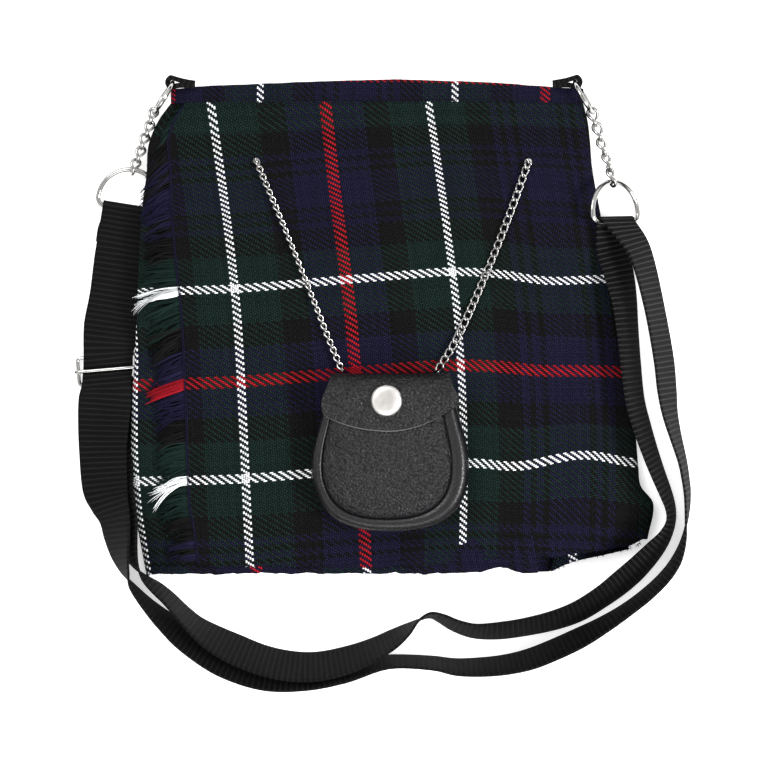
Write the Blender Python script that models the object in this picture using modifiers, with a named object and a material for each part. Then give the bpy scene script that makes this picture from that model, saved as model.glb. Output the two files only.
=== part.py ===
"""A tartan handbag cut like a small kilt, lying on its pleated back, with a leather purse on two chains.

Run with: blender --background --python part.py
+X is to the right of the front, +Y from the hem to the waistband, +Z up from the surface that it lies on.
Named sizes are in millimetres. Tables of sections hold shares of the named sizes.
"""
import math

import bmesh
import bpy
from mathutils import Matrix, Vector

MM = 0.001
FIT = 0.3

# The kilt's cloth body
HALF_WIDTH = 137.0
SKIRT_LENGTH = 253.5
WAIST_Y = 154.0
BODY_DEPTH = 27.5
EDGE_DEPTH = 5.5
SIDE_LIFT = 10.5
SIDE_ZONE = 35.0
CROWN_POWER = 2.4
CLOTH = 1.2
LAYER_GAP = 0.7
SIDE_FOLD = 6.0
SIDE_RETURN = 8.5
RETURN_GAP = 2.0
PLEATS = 9
PLEAT_UNDER = 14.0
PLEAT_RISE = 4.0
UNDER_APRON_SHARE = 0.78
HEM_STEP = 1.0

# The waistband, the corner tabs and the pouch that hangs from the band
BAND_HEIGHT = 11.0
BAND_GAP = 0.8
BAND_WALL = 2.0
BAND_END_DROP = 6.0
TAB_WIDTH = 7.0
TAB_LENGTH = 12.0
TAB_CLOTH = 1.3
TAB_SLACK = 1.1
POUCH_WALL = 1.5
POUCH_INSET = 32.0
POUCH_TAPER = 4.0
POUCH_END = 0.82
MOUTH_DEPTH = 6.5

# The fringe along the apron's free edge
FRINGE_CLOTH = 1.0
FRINGE_LENGTH = 20.0
FRINGE_LOCKS = 32
FRINGE_SLANT = 0.12
FRINGE_DROOP = 0.35
FRINGE_STOPS = (0.0, 0.25, 0.6, 1.0)

# The strap and its rings
WEBBING_WIDTH = 30.0
WEBBING = 1.3
STRAP_TAIL = 20.0
STRAP_RING_WIDTH = 34.6
STRAP_RING_DEPTH = 22.0
STRAP_RING_WIRE = 2.8
CORNER_RING = 19.5
CORNER_RING_WIRE = 2.4
CORNER_RING_TILT = 10.0
SLIDE_WIDTH = 32.6
SLIDE_HEIGHT = 15.0
SLIDE_WIRE = 2.2
SLIDE_BAR_RISE = 3.0

# The chains
LINK_WIDTH = 7.8
LINK_WIRE = 1.8
LINK_BITE = 1.4
LINK_TWIST = 42.0
LINK_SWAY = 0.17
SIDE_LINKS = 5
PURSE_CHAIN = 4.0
CHAIN_HOLE = 5.2

# The leather purse
PURSE_WIDTH = 85.0
PURSE_HEIGHT = 77.5
PURSE_DEPTH = 13.0
PURSE_LEATHER = 1.6
PURSE_TOP = -2.0
PURSE_HANG = 12.0
PURSE_X = 1.5
PANEL_SHARE = 0.84
FLAP_DROP = 23.5
FLAP_LEATHER = 1.8
SNAP_DIAMETER = 16.8
SNAP_HEIGHT = 2.6
SNAP_X = -2.1
SNAP_DOWN = 6.9

# Shares of SKIRT_LENGTH, HALF_WIDTH, BODY_DEPTH and SIDE_LIFT down the skirt
SKIRT_ROWS = [
    {"down": 0.00, "left": 0.845, "right": 0.782, "crown": 0.60, "lift_left": 0.45, "lift_right": 0.45},
    {"down": 0.04, "left": 0.893, "right": 0.800, "crown": 0.64, "lift_left": 0.58, "lift_right": 0.48},
    {"down": 0.09, "left": 0.943, "right": 0.810, "crown": 0.71, "lift_left": 0.75, "lift_right": 0.52},
    {"down": 0.15, "left": 0.962, "right": 0.818, "crown": 0.79, "lift_left": 0.92, "lift_right": 0.58},
    {"down": 0.23, "left": 0.980, "right": 0.843, "crown": 0.88, "lift_left": 1.00, "lift_right": 0.60},
    {"down": 0.33, "left": 0.992, "right": 0.874, "crown": 0.95, "lift_left": 0.95, "lift_right": 0.60},
    {"down": 0.44, "left": 1.000, "right": 0.906, "crown": 0.99, "lift_left": 0.80, "lift_right": 0.60},
    {"down": 0.55, "left": 1.006, "right": 0.936, "crown": 1.00, "lift_left": 0.70, "lift_right": 0.58},
    {"down": 0.65, "left": 1.001, "right": 0.964, "crown": 1.00, "lift_left": 0.65, "lift_right": 0.55},
    {"down": 0.75, "left": 0.990, "right": 0.990, "crown": 0.99, "lift_left": 0.58, "lift_right": 0.50},
    {"down": 0.84, "left": 0.976, "right": 1.004, "crown": 0.95, "lift_left": 0.48, "lift_right": 0.42},
    {"down": 0.88, "left": 0.970, "right": 1.014, "crown": 0.90, "lift_left": 0.41, "lift_right": 0.35},
    {"down": 0.92, "left": 0.964, "right": 1.064, "crown": 0.82, "lift_left": 0.34, "lift_right": 0.28},
    {"down": 1.00, "left": 0.954, "right": 1.042, "crown": 0.58, "lift_left": 0.15, "lift_right": 0.12},
]

# The rows that the hidden layers are built through
FEW_ROWS = [SKIRT_ROWS[i]["down"] for i in (0, 2, 4, 6, 8, 10, 11, 12, 13)]

# Place of the apron's fringed edge, as a share of the skirt's width from its left side
SEAM_ROWS = [
    {"down": 0.00, "seam": 0.035}, {"down": 0.06, "seam": 0.040}, {"down": 0.15, "seam": 0.054},
    {"down": 0.30, "seam": 0.074}, {"down": 0.49, "seam": 0.097}, {"down": 0.71, "seam": 0.105},
    {"down": 1.00, "seam": 0.097},
]

# The hems' drop below the nominal hem across the skirt, as shares of BODY_DEPTH
HEM_COLUMNS = [
    {"across": -1.00, "front": 0.00, "back": 0.18}, {"across": -0.50, "front": 0.00, "back": 0.14},
    {"across": 0.05, "front": 0.00, "back": 0.14}, {"across": 0.30, "front": -0.12, "back": 0.12},
    {"across": 0.42, "front": -0.16, "back": 0.02}, {"across": 0.48, "front": -0.17, "back": 0.12},
    {"across": 0.63, "front": -0.20, "back": 0.10}, {"across": 0.68, "front": -0.23, "back": -0.04},
    {"across": 0.88, "front": -0.36, "back": -0.26}, {"across": 1.00, "front": -0.54, "back": -0.45},
]

# The waistband's top edge across the bag, as a share of BAND_END_DROP below its highest place
BAND_TOP = [
    {"across": -0.98, "drop": 1.02}, {"across": -0.94, "drop": 0.95}, {"across": -0.885, "drop": 0.50},
    {"across": -0.62, "drop": 0.40}, {"across": -0.40, "drop": 0.25}, {"across": -0.15, "drop": 0.10},
    {"across": 0.10, "drop": 0.00}, {"across": 0.33, "drop": 0.12}, {"across": 0.55, "drop": 0.25},
    {"across": 0.82, "drop": 0.50}, {"across": 0.88, "drop": 0.95}, {"across": 0.98, "drop": 1.02},
]

# How far the fringe's locks reach, as shares of FRINGE_LENGTH, down the apron's edge
FRINGE_REACH = [
    {"down": 0.00, "reach": 0.30}, {"down": 0.10, "reach": 0.42}, {"down": 0.145, "reach": 0.60},
    {"down": 0.17, "reach": 1.10}, {"down": 0.24, "reach": 0.90}, {"down": 0.36, "reach": 1.05},
    {"down": 0.44, "reach": 1.30},
    {"down": 0.52, "reach": 1.15}, {"down": 0.60, "reach": 1.05}, {"down": 0.78, "reach": 1.00},
    {"down": 0.90, "reach": 0.85}, {"down": 1.00, "reach": 0.80},
]

# Half the purse's outline from the middle of its mouth to its lowest point,
# as shares of half PURSE_WIDTH and of PURSE_HEIGHT below the mouth
PURSE_OUTLINE = [
    {"out": 0.76, "down": 0.00}, {"out": 0.82, "down": 0.10}, {"out": 0.89, "down": 0.24},
    {"out": 0.97, "down": 0.40}, {"out": 1.00, "down": 0.55}, {"out": 0.97, "down": 0.69},
    {"out": 0.86, "down": 0.83}, {"out": 0.66, "down": 0.93}, {"out": 0.36, "down": 0.985},
    {"out": 0.00, "down": 1.00},
]

# The purse's side wall from back to front: shares of PURSE_DEPTH up and of the outline out
PURSE_WALL = [
    {"up": 0.00, "out": 0.955}, {"up": 0.12, "out": 0.985}, {"up": 0.40, "out": 1.00},
    {"up": 0.72, "out": 0.99}, {"up": 0.94, "out": 0.95}, {"up": 1.00, "out": 0.90},
    {"up": 0.97, "out": 0.865},
]

# The flap from its back edge over the mouth to its front edge: shares of PURSE_DEPTH up,
# of FLAP_DROP down and of half PURSE_WIDTH out
FLAP_ROWS = [
    {"up": 0.06, "down": -0.05, "out": 0.72},
    {"up": 0.20, "down": -0.22, "out": 0.735}, {"up": 0.60, "down": -0.29, "out": 0.745},
    {"up": 1.00, "down": -0.20, "out": 0.765}, {"up": 1.20, "down": 0.00, "out": 0.80},
    {"up": 1.24, "down": 0.16, "out": 0.835}, {"up": 1.24, "down": 0.30, "out": 0.845},
    {"up": 1.24, "down": 0.42, "out": 0.830},
]

# Middle line of the strap from the left ring round to the right ring, chosen from the photo: x as a share
# of HALF_WIDTH, y in millimetres, lean in degrees from flat (90 is on edge) and lift of its lower edge
STRAP_OUT = [
    (-1.049, 81.9, 0, 2.4), (-1.066, 68.0, 0, 2.0), (-1.086, 47.9, 0, 0.2), (-1.106, 33.0, 0, 2.2),
    (-1.111, 24.0, 0, 4.4), (-1.117, 15.5, 0, 4.4), (-1.120, 8.0, 0, 3.0), (-1.123, 0.5, 0, 5.9),
    (-1.128, -8.5, 6, 6.2), (-1.133, -20.0, 18, 4.4), (-1.136, -36.1, 27, 2.8),
    (-1.127, -56.8, 32, 2.8), (-1.106, -66.0, 43, 2.4), (-1.085, -74.2, 53, 2.0),
    (-1.076, -84.0, 59, 1.4), (-1.063, -94.3, 68, 0.6), (-1.042, -103.0, 78, 0.2),
    (-1.016, -110.1, 89, 0.0), (-0.956, -119.8, 96, 0.0), (-0.881, -129.6, 104, 0.0),
    (-0.790, -139.6, 112, 0.0), (-0.651, -151.4, 116, 0.0), (-0.488, -158.8, 116, 0.0),
    (-0.328, -159.6, 113, 0.0), (-0.169, -156.8, 107, 0.0), (0.002, -151.4, 98, 0.0),
    (0.173, -152.0, 98, 0.0), (0.272, -154.2, 101, 0.0), (0.376, -154.2, 103, 0.0),
    (0.472, -152.9, 104, 0.0), (0.567, -149.9, 105, 0.0), (0.666, -144.6, 105, 0.0),
    (0.766, -138.2, 104, 0.0), (0.861, -131.0, 100, 0.0), (0.949, -123.2, 97, 0.0),
    (1.031, -114.6, 96, 0.0), (1.099, -105.7, 95, 0.0), (1.147, -96.5, 93, 0.0),
    (1.177, -85.5, 88, 0.0), (1.190, -73.0, 82, 0.0), (1.193, -61.0, 79, 0.0), (1.185, -51.2, 78, 0.0),
    (1.172, -41.4, 77, 0.0), (1.146, -28.5, 74, 0.0), (1.124, -16.0, 70, 0.0), (1.112, -3.0, 66, 0.0),
    (1.099, 14.0, 65, 0.0), (1.066, 39.3, 65, 0.0), (1.026, 63.0, 62, 0.0), (0.990, 76.5, 54, 1.0),
]

# The same from the right ring back to the slide, along the inner side
STRAP_BACK = [
    (0.895, 74.5, 44, 0.0), (0.921, 61.0, 52, 0.0), (0.942, 46.9, 60, 0.0), (0.955, 30.5, 64, 0.0),
    (0.969, 10.4, 66, 0.0), (0.985, -8.7, 67, 0.0), (1.013, -23.4, 68, 0.0), (1.045, -37.1, 70, 0.0),
    (1.077, -49.1, 72, 0.0), (1.107, -59.4, 74, 0.0), (1.126, -67.6, 76, 0.0), (1.127, -75.0, 76, 0.0),
    (1.105, -82.6, 72, 0.0), (1.063, -90.2, 66, 0.0), (0.998, -99.8, 62, 0.0), (0.934, -107.6, 61, 0.0),
    (0.858, -115.6, 63, 0.0), (0.764, -123.6, 64, 0.0), (0.664, -128.8, 66, 0.0),
    (0.543, -132.6, 68, 0.0), (0.436, -134.6, 69, 0.0), (0.343, -134.6, 72, 0.0),
    (0.270, -131.6, 75, 0.0), (0.216, -127.8, 78, 0.0), (0.171, -126.0, 81, 0.0),
    (0.127, -128.6, 86, 0.0), (0.080, -133.6, 96, 0.0), (0.022, -139.0, 104, 0.0),
    (-0.054, -144.6, 108, 0.0), (-0.153, -150.2, 113, 0.0), (-0.277, -154.0, 115, 0.0),
    (-0.388, -153.8, 116, 0.0), (-0.499, -150.5, 116, 0.0), (-0.607, -144.6, 116, 0.0),
    (-0.699, -138.0, 111, 0.0), (-0.766, -131.4, 104, 0.0), (-0.821, -124.0, 100, 0.0),
    (-0.873, -116.6, 98, 0.0), (-0.920, -111.0, 96, 0.0), (-0.965, -105.8, 90, 0.0),
    (-1.000, -99.6, 80, 0.0), (-1.025, -91.8, 70, 0.0), (-1.044, -82.9, 60, 0.0),
    (-1.058, -73.7, 52, 0.0), (-1.083, -65.6, 41, 0.0), (-1.107, -56.4, 30, 0.0),
    (-1.120, -40.2, 16, 0.0), (-1.123, -24.3, 4, 0.0), (-1.123, -14.3, 0, 0.1),
]

# Where the chains run, chosen from the photo: x as a share of HALF_WIDTH, y and height in millimetres
CORNER_RING_RIGHT = ((0.7467, 164.8, 12.0), (0.8182, 148.2, 11.0))
CORNER_RING_LEFT = ((-0.8555, 164.6, 12.0), (-0.9328, 148.0, 11.0))
PURSE_CHAIN_LEFT = [(-0.5197, 121.0), (-0.4204, 89.0), (-0.3226, 56.0), (-0.2307, 24.0), (-0.1796, 7.4)]
PURSE_CHAIN_RIGHT = [(0.5591, 121.0), (0.4774, 90.0), (0.3839, 58.0), (0.2788, 26.0), (0.1971, 7.4)]

# The strap's rings and slide: the bar's middle, as above, and its heading, tip and pitch in degrees
LEFT_RING = {"middle": (-1.0394, 95.8, 3.4), "heading": -9.0, "lean": 0.0, "pitch": 6.0}
RIGHT_RING = {"middle": (0.9095, 88.6, 12.6), "heading": 184.0, "lean": 40.0, "pitch": 0.0}
SLIDE = {"middle": (-1.1204, 8.0, 2.7), "heading": 5.0}


def vec(x, y, z):
    """A point given in millimetres, in Blender's metres."""
    return Vector((x, y, z)) * MM


def mix(a, b, share):
    return a + (b - a) * share


def chosen(point):
    """A point chosen from the photo, in millimetres."""
    return (point[0] * HALF_WIDTH, *point[1:])


def read(rows, key, name, at):
    """A column of a table of rows, read smoothly at one place along it."""
    places = [row[key] for row in rows]
    values = [row[name] for row in rows]
    at = min(max(at, places[0]), places[-1])
    last = len(rows) - 1
    i = min(max(sum(1 for place in places if place <= at) - 1, 0), last - 1)
    span = places[i + 1] - places[i]
    share = (at - places[i]) / span
    slopes = []
    for j in (i, i + 1):
        low, high = max(j - 1, 0), min(j + 1, last)
        slopes.append((values[high] - values[low]) / (places[high] - places[low]) * span)
    square, cube = share ** 2, share ** 3
    return (values[i] * (2 * cube - 3 * square + 1) + slopes[0] * (cube - 2 * square + share)
            + values[i + 1] * (3 * square - 2 * cube) + slopes[1] * (cube - square))


def clear_scene():
    for obj in list(bpy.data.objects):
        bpy.data.objects.remove(obj, do_unlink=True)


def make_collection(name):
    collection = bpy.data.collections.new(name)
    bpy.context.scene.collection.children.link(collection)
    return collection


def make_material(name, colour, roughness, metallic):
    material = bpy.data.materials.new(name)
    material.use_nodes = True
    shader = material.node_tree.nodes["Principled BSDF"]
    shader.inputs["Base Color"].default_value = (*colour, 1.0)
    shader.inputs["Roughness"].default_value = roughness
    shader.inputs["Metallic"].default_value = metallic
    return material


clear_scene()
BAG = make_collection("kilt_handbag")
CUTTERS = make_collection("cutters")


def add_mesh(name, vertices, faces, material, smooth=True):
    mesh = bpy.data.meshes.new(name)
    mesh.from_pydata(vertices, [], faces)
    mesh.update()
    if smooth:
        mesh.shade_smooth()
        mesh.set_sharp_from_angle(angle=math.radians(40))
    obj = bpy.data.objects.new(name, mesh)
    obj.data.materials.append(material)
    BAG.objects.link(obj)
    return obj


def face_out(obj):
    mesh = bmesh.new()
    mesh.from_mesh(obj.data)
    bmesh.ops.recalc_face_normals(mesh, faces=mesh.faces)
    mesh.to_mesh(obj.data)
    mesh.free()


def thicken(obj, thickness, offset=0.0):
    shell = obj.modifiers.new("shell", "SOLIDIFY")
    shell.thickness = thickness * MM
    shell.offset = offset
    shell.use_even_offset = False


def grid_faces(rows, columns, closed=False):
    faces = []
    for i in range(rows - 1):
        for j in range(columns if closed else columns - 1):
            right = (j + 1) % columns
            faces.append((i * columns + j, i * columns + right,
                          (i + 1) * columns + right, (i + 1) * columns + j))
    return faces


def sheet(name, rows, thickness, material, closed=False, offset=0.0):
    """A wall of even thickness about the surface through rows of points."""
    points = [point for row in rows for point in row]
    obj = add_mesh(name, points, grid_faces(len(rows), len(rows[0]), closed), material)
    thicken(obj, thickness, offset)
    return obj


def wire(name, points, diameter, material, closed=True, resolution=2):
    curve = bpy.data.curves.new(name, "CURVE")
    curve.dimensions = "3D"
    curve.bevel_depth = diameter / 2 * MM
    curve.bevel_resolution = resolution
    curve.use_fill_caps = True
    spline = curve.splines.new("POLY")
    spline.points.add(len(points) - 1)
    for place, point in zip(spline.points, points):
        place.co = (*point, 1.0)
    spline.use_cyclic_u = closed
    curve.materials.append(material)
    obj = bpy.data.objects.new(name, curve)
    BAG.objects.link(obj)
    return obj


def to_mesh(obj):
    """The object's evaluated shape as a mesh object of the same name, with its caps welded."""
    graph = bpy.context.evaluated_depsgraph_get()
    mesh = bpy.data.meshes.new_from_object(obj.evaluated_get(graph))
    shape = bmesh.new()
    shape.from_mesh(mesh)
    bmesh.ops.remove_doubles(shape, verts=shape.verts, dist=0.00001)
    shape.to_mesh(mesh)
    shape.free()
    name = obj.name
    place = obj.matrix_world.copy()
    bpy.data.objects.remove(obj, do_unlink=True)
    made = bpy.data.objects.new(name, mesh)
    made.matrix_world = place
    BAG.objects.link(made)
    return made


def fuse(target, others):
    """One body of several overlapping ones."""
    for other in others:
        CUTTERS.objects.link(other)
        BAG.objects.unlink(other)
        other.hide_render = True
        other.display_type = "WIRE"
        join = target.modifiers.new("join", "BOOLEAN")
        join.operation = "UNION"
        join.object = other
        join.solver = "EXACT"


def cut(target, cutter):
    hole = target.modifiers.new("hole", "BOOLEAN")
    hole.operation = "DIFFERENCE"
    hole.object = cutter
    hole.solver = "EXACT"


def skirt(name, down):
    return read(SKIRT_ROWS, "down", name, down)


def side(down, which):
    """Where the skirt's side fold is."""
    return skirt(which, down) * HALF_WIDTH * (-1 if which == "left" else 1)


def low_surface(x, down):
    """Height of the skirt's underside, flat in the middle and lifted towards its sides."""
    height = 0.0
    for which in ("left", "right"):
        inside = abs(x - side(down, which)) / SIDE_ZONE
        reached = max(0.0, 1.0 - inside)
        height += SIDE_LIFT * skirt("lift_" + which, down) * reached ** 1.5
    return height


def top_surface(x, down):
    """Height of the skirt's front, crowned between its two side folds."""
    left, right = side(down, "left"), side(down, "right")
    middle, half = (left + right) / 2, (right - left) / 2
    across = min(abs(x - middle) / half, 1.0)
    which = "left" if x < middle else "right"
    edge = SIDE_LIFT * skirt("lift_" + which, down) + EDGE_DEPTH
    crown = max(skirt("crown", down) * BODY_DEPTH, edge)
    return mix(edge, crown, 1.0 - across ** CROWN_POWER)


def across_share(x, down):
    left, right = side(down, "left"), side(down, "right")
    return (x - (left + right) / 2) / ((right - left) / 2)


def plan_y(x, down, hem):
    drop = read(HEM_COLUMNS, "across", hem, across_share(x, down)) * BODY_DEPTH
    return WAIST_Y - down * (SKIRT_LENGTH + drop)


def seam_x(down):
    left, right = side(down, "left"), side(down, "right")
    return mix(left, right, read(SEAM_ROWS, "down", "seam", down))


def side_fold(down, which, outset):
    """The turn of cloth at a side fold, from its top to its underside, as (x, height) pairs."""
    way = -1 if which == "left" else 1
    edge = side(down, which)
    start = edge - way * SIDE_FOLD
    high = top_surface(start, down) - outset
    low = low_surface(start, down) + CLOTH / 2
    middle, half = (high + low) / 2, (high - low) / 2
    reach = SIDE_FOLD - CLOTH / 2
    turn = [(start + way * reach * math.cos(a), middle + half * math.sin(a))
            for a in (math.radians(angle) for angle in (90, 50, 0, -50, -90))]
    end = edge - way * SIDE_RETURN
    return turn + [(end, low_surface(end, down) + CLOTH / 2)]


def front_layer(down, start, end, outset, count):
    return [(x, top_surface(x, down) - outset)
            for x in (mix(start, end, i / (count - 1)) for i in range(count))]


def cloth_rows(paths, downs, hem):
    return [[vec(x, plan_y(x, down, hem), z) for x, z in path] for path, down in zip(paths, downs)]


def chain_ends():
    return {"left": chosen(PURSE_CHAIN_LEFT[0]), "right": chosen(PURSE_CHAIN_RIGHT[0])}


def down_at(y):
    return (WAIST_Y - y) / SKIRT_LENGTH


def chain_hole_cutter(name, place):
    height = BODY_DEPTH
    bpy.ops.mesh.primitive_cylinder_add(vertices=12, radius=CHAIN_HOLE / 2 * MM, depth=height * MM,
                                        location=vec(*place, height))
    cutter = bpy.context.object
    cutter.name = name
    for collection in list(cutter.users_collection):
        collection.objects.unlink(cutter)
    CUTTERS.objects.link(cutter)
    cutter.hide_render = True
    cutter.display_type = "WIRE"
    return cutter


def make_apron(material):
    downs = [row["down"] for row in SKIRT_ROWS]
    outset = CLOTH / 2
    paths = []
    for down in downs:
        start = side(down, "right") - SIDE_FOLD
        paths.append(front_layer(down, seam_x(down), start, outset, 13)[:-1]
                     + side_fold(down, "right", outset))
    return sheet("apron", cloth_rows(paths, downs, "front"), CLOTH, material)


def make_under_apron(material):
    outset = CLOTH * 1.5 + LAYER_GAP
    paths = []
    for down in FEW_ROWS:
        left, right = side(down, "left"), side(down, "right")
        end = mix(left, right, UNDER_APRON_SHARE)
        top = front_layer(down, left + SIDE_FOLD, end, outset, 11)[1:]
        paths.append(side_fold(down, "left", outset)[::-1] + top)
    return sheet("under_apron", cloth_rows(paths, FEW_ROWS, "front"), CLOTH, material)


def pleat_path(down):
    """Knife pleats seen from the hem, as (x, height above the underside) pairs."""
    left = side(down, "left") + SIDE_RETURN + RETURN_GAP
    right = side(down, "right") - SIDE_RETURN - RETURN_GAP
    panel = (right - left) / PLEATS
    floor, step = CLOTH / 2, CLOTH + FIT
    turn = step / 2
    path = [(left, floor), (left + panel - PLEAT_UNDER + turn, floor)]
    for i in range(1, PLEATS):
        fold = left + panel * i
        back = fold - PLEAT_UNDER
        path += [(fold - turn, floor), (fold, floor + turn), (fold - turn, floor + step)]
        path += [(back + turn, floor + step), (back, floor + step + turn), (back + turn, floor + 2 * step)]
        path += [(fold + PLEAT_RISE * 0.3, floor + 2 * step), (fold + PLEAT_RISE * 1.3, floor)]
    path.append((right, floor))
    return path


def make_pleats(material):
    rows = []
    for down in FEW_ROWS[:6] + FEW_ROWS[7:]:
        rows.append([vec(x, plan_y(x, down, "back"), z + low_surface(x, down))
                     for x, z in pleat_path(down)])
    return sheet("pleats", rows, CLOTH, material)


def band_top(across):
    return WAIST_Y + BAND_GAP + BAND_HEIGHT - read(BAND_TOP, "across", "drop", across) * BAND_END_DROP


def make_waistband(material):
    """A flattened loop of cloth about the mouth."""
    left, right = side(0.0, "left"), side(0.0, "right")
    places = [mix(left, right, (row["across"] + 1) / 2) for row in BAND_TOP]
    top = [(x, top_surface(x, 0.0)) for x in places]
    bottom = [(x, low_surface(x, 0.0)) for x, _ in reversed(top)]
    ends = []
    for (x, high), edge in ((top[-1], right), (top[0], left)):
        low = low_surface(x, 0.0)
        ends.append([(edge, mix(low, high, share)) for share in (0.75, 0.25)])
    loop = top + ends[0] + bottom + ends[1][::-1]
    rows = []
    for height in (0.0, 1.0):
        row = []
        for x, z in loop:
            top_y = band_top(across_share(x, 0.0))
            row.append(vec(x, mix(WAIST_Y + BAND_GAP, top_y, height), z))
        rows.append(row)
    return sheet("waistband", rows, BAND_WALL, material, closed=True, offset=-1.0)


def pouch_section(down, inset, wall, mouth):
    """One ring of the pouch, as (x, height) pairs. In the band it follows the band's own wall."""
    left = side(max(down, 0.0), "left") + inset
    right = side(max(down, 0.0), "right") - inset
    place = max(down, 0.0)
    below = BAND_WALL + FIT if mouth else 3 * CLOTH + 3 * FIT
    above = BAND_WALL + FIT if mouth else 2 * CLOTH + LAYER_GAP + 2 * FIT
    count = 11
    upper, lower = [], []
    for i in range(count):
        share = 2 * i / (count - 1) - 1
        x = mix(left, right, (share + 1) / 2)
        high, low = top_surface(x, place) - above, low_surface(x, place) + below
        middle, half = (high + low) / 2, (high - low) / 2 * (1 - 0.2 * abs(share) ** 8)
        upper.append((x, middle + half - wall))
        lower.append((x, middle - half + wall))
    return upper + lower[::-1]


def make_pouch(material):
    """A hollow bag with its mouth in the waistband."""
    band_y = WAIST_Y + BAND_GAP
    mouth_y = band_y + MOUTH_DEPTH
    stops = [(mouth_y, 0.0, True), (band_y, 0.0, False)]
    stops += [(None, down, False) for down in (0.09, 0.23, 0.44, 0.65, POUCH_END)]
    rings = []
    for inner in (False, True):
        wall = POUCH_WALL if inner else 0.0
        for y, down, mouth in stops:
            if y is None:
                y = WAIST_Y - down * SKIRT_LENGTH
            last = down == POUCH_END
            y += POUCH_WALL if inner and last else 0.0
            inset = POUCH_INSET + wall + (POUCH_TAPER if last else 0.0)
            rings.append([vec(x, y, z) for x, z in pouch_section(down, inset, wall, mouth)])
    size = len(rings[0])
    outer, inner = rings[:len(stops)], rings[len(stops):]
    order = outer[::-1] + inner
    points = [point for ring in order for point in ring]
    faces = grid_faces(len(order), size, closed=True)
    last = (len(order) - 1) * size
    faces += [tuple(range(size)), tuple(last + i for i in reversed(range(size)))]
    obj = add_mesh("pouch", points, faces, material)
    face_out(obj)
    return obj


def make_fringe(material):
    """Locks of loose threads in one strip, along the apron's fringed edge."""
    outset = CLOTH - FRINGE_CLOTH / 2
    rows = [[] for _ in FRINGE_STOPS]
    for i in range(2 * FRINGE_LOCKS + 1):
        down = mix(0.02, 0.985, i / (2 * FRINGE_LOCKS))
        start, edge = seam_x(down) - FIT, side(down, "left")
        reach = read(FRINGE_REACH, "down", "reach", down) * FRINGE_LENGTH
        reach = max(reach, 6.0) * (1.0 if i % 2 else 0.6)
        for row, stop in zip(rows, FRINGE_STOPS):
            x = start - reach * stop
            height = top_surface(max(x, edge), down) - outset - FRINGE_DROOP * max(edge - x, 0.0)
            row.append(vec(x, plan_y(start, down, "front") - FRINGE_SLANT * reach * stop, height))
    return sheet("fringe", rows, FRINGE_CLOTH, material)


def bar_frame(place):
    """A ring's bar direction, its arch direction and their common normal."""
    heading, lean = math.radians(place["heading"]), math.radians(place.get("lean", 0.0))
    pitch = math.radians(place.get("pitch", 0.0))
    bar = Vector((math.cos(heading) * math.cos(lean), math.sin(heading) * math.cos(lean), math.sin(lean)))
    flat = Vector((-math.sin(heading), math.cos(heading), 0.0))
    if flat.y < 0:
        flat = -flat
    arch = (flat * math.cos(pitch) + bar.cross(flat).normalized() * math.sin(pitch)
            * (1 if bar.cross(flat).z > 0 else -1)).normalized()
    return bar, arch, bar.cross(arch)


def ring_outline(width, depth):
    """A D from its bar at the bottom round its arch, as (along the bar, up the arch) pairs."""
    half, corner = width / 2, min(width, depth) * 0.2
    points = [(-half + corner, 0.0), (0.0, 0.0), (half - corner, 0.0)]
    for angle in (-60, -30):
        a = math.radians(angle)
        points.append((half - corner + corner * math.cos(a), corner + corner * math.sin(a)))
    for i in range(13):
        a = math.pi * i / 12
        points.append((half * math.cos(a), corner + (depth - corner) * math.sin(a)))
    for angle in (-150, -120):
        a = math.radians(angle)
        points.append((-half + corner + corner * math.cos(a), corner + corner * math.sin(a)))
    return points


def make_strap_ring(name, place, material):
    bar, arch, _ = bar_frame(place)
    middle = vec(*chosen(place["middle"]))
    points = [middle + (bar * along + arch * up) * MM
              for along, up in ring_outline(STRAP_RING_WIDTH, STRAP_RING_DEPTH)]
    return wire(name, points, STRAP_RING_WIRE, material)


def corner_ring_frame(ends):
    upper, lower = vec(*chosen(ends[0])), vec(*chosen(ends[1]))
    chord = (lower - upper).normalized()
    outward = Vector((-chord.y, chord.x, 0.0)).normalized()
    if outward.x * upper.x < 0:
        outward = -outward
    rise = (Vector((0, 0, 1)) - outward * math.tan(math.radians(CORNER_RING_TILT))).normalized()
    rise = (rise - chord * rise.dot(chord)).normalized()
    return (upper + lower) / 2, chord, rise


def make_corner_ring(name, ends, material):
    centre, chord, rise = corner_ring_frame(ends)
    points = []
    for i in range(18):
        a = math.tau * i / 18
        points.append(centre + (chord * math.cos(a) + rise * math.sin(a)) * CORNER_RING / 2 * MM)
    return wire(name, points, CORNER_RING_WIRE, material, resolution=1)


def make_tab(name, ends, way, material):
    """A webbing loop about a corner ring, its two legs on the waistband's top edge."""
    upper, _ = ends
    _, chord, rise = corner_ring_frame(ends)
    centre = Vector(chosen(upper))
    turn = CORNER_RING_WIRE / 2 + FIT + TAB_CLOTH / 2 + TAB_SLACK
    seam = (TAB_CLOTH + FIT) / 2
    legs = [(TAB_LENGTH, seam), (TAB_LENGTH * 0.55, seam + 0.3)]
    path = [centre + Vector((-way * back, -out, 0)) for back, out in legs]
    for angle in range(-75, 76, 30):
        a = math.radians(angle)
        path.append(centre + Vector((way * turn * math.cos(a), turn * math.sin(a), 0)))
    path += [centre + Vector((-way * back, out, 0)) for back, out in reversed(legs)]
    half = rise * TAB_WIDTH / 2
    rows = [[(point - half) * MM for point in path], [(point + half) * MM for point in path]]
    return sheet(name, rows, TAB_CLOTH, material)


def level_across(x, y, tangent):
    """The level direction across the strap, towards the bag. In the slide it follows the bars."""
    if (Vector((x, y)) - Vector(chosen(SLIDE["middle"])[:2])).length < SLIDE_HEIGHT:
        return slide_frame()[0]
    return Vector((-tangent.y, tangent.x, 0.0)).normalized()


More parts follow.
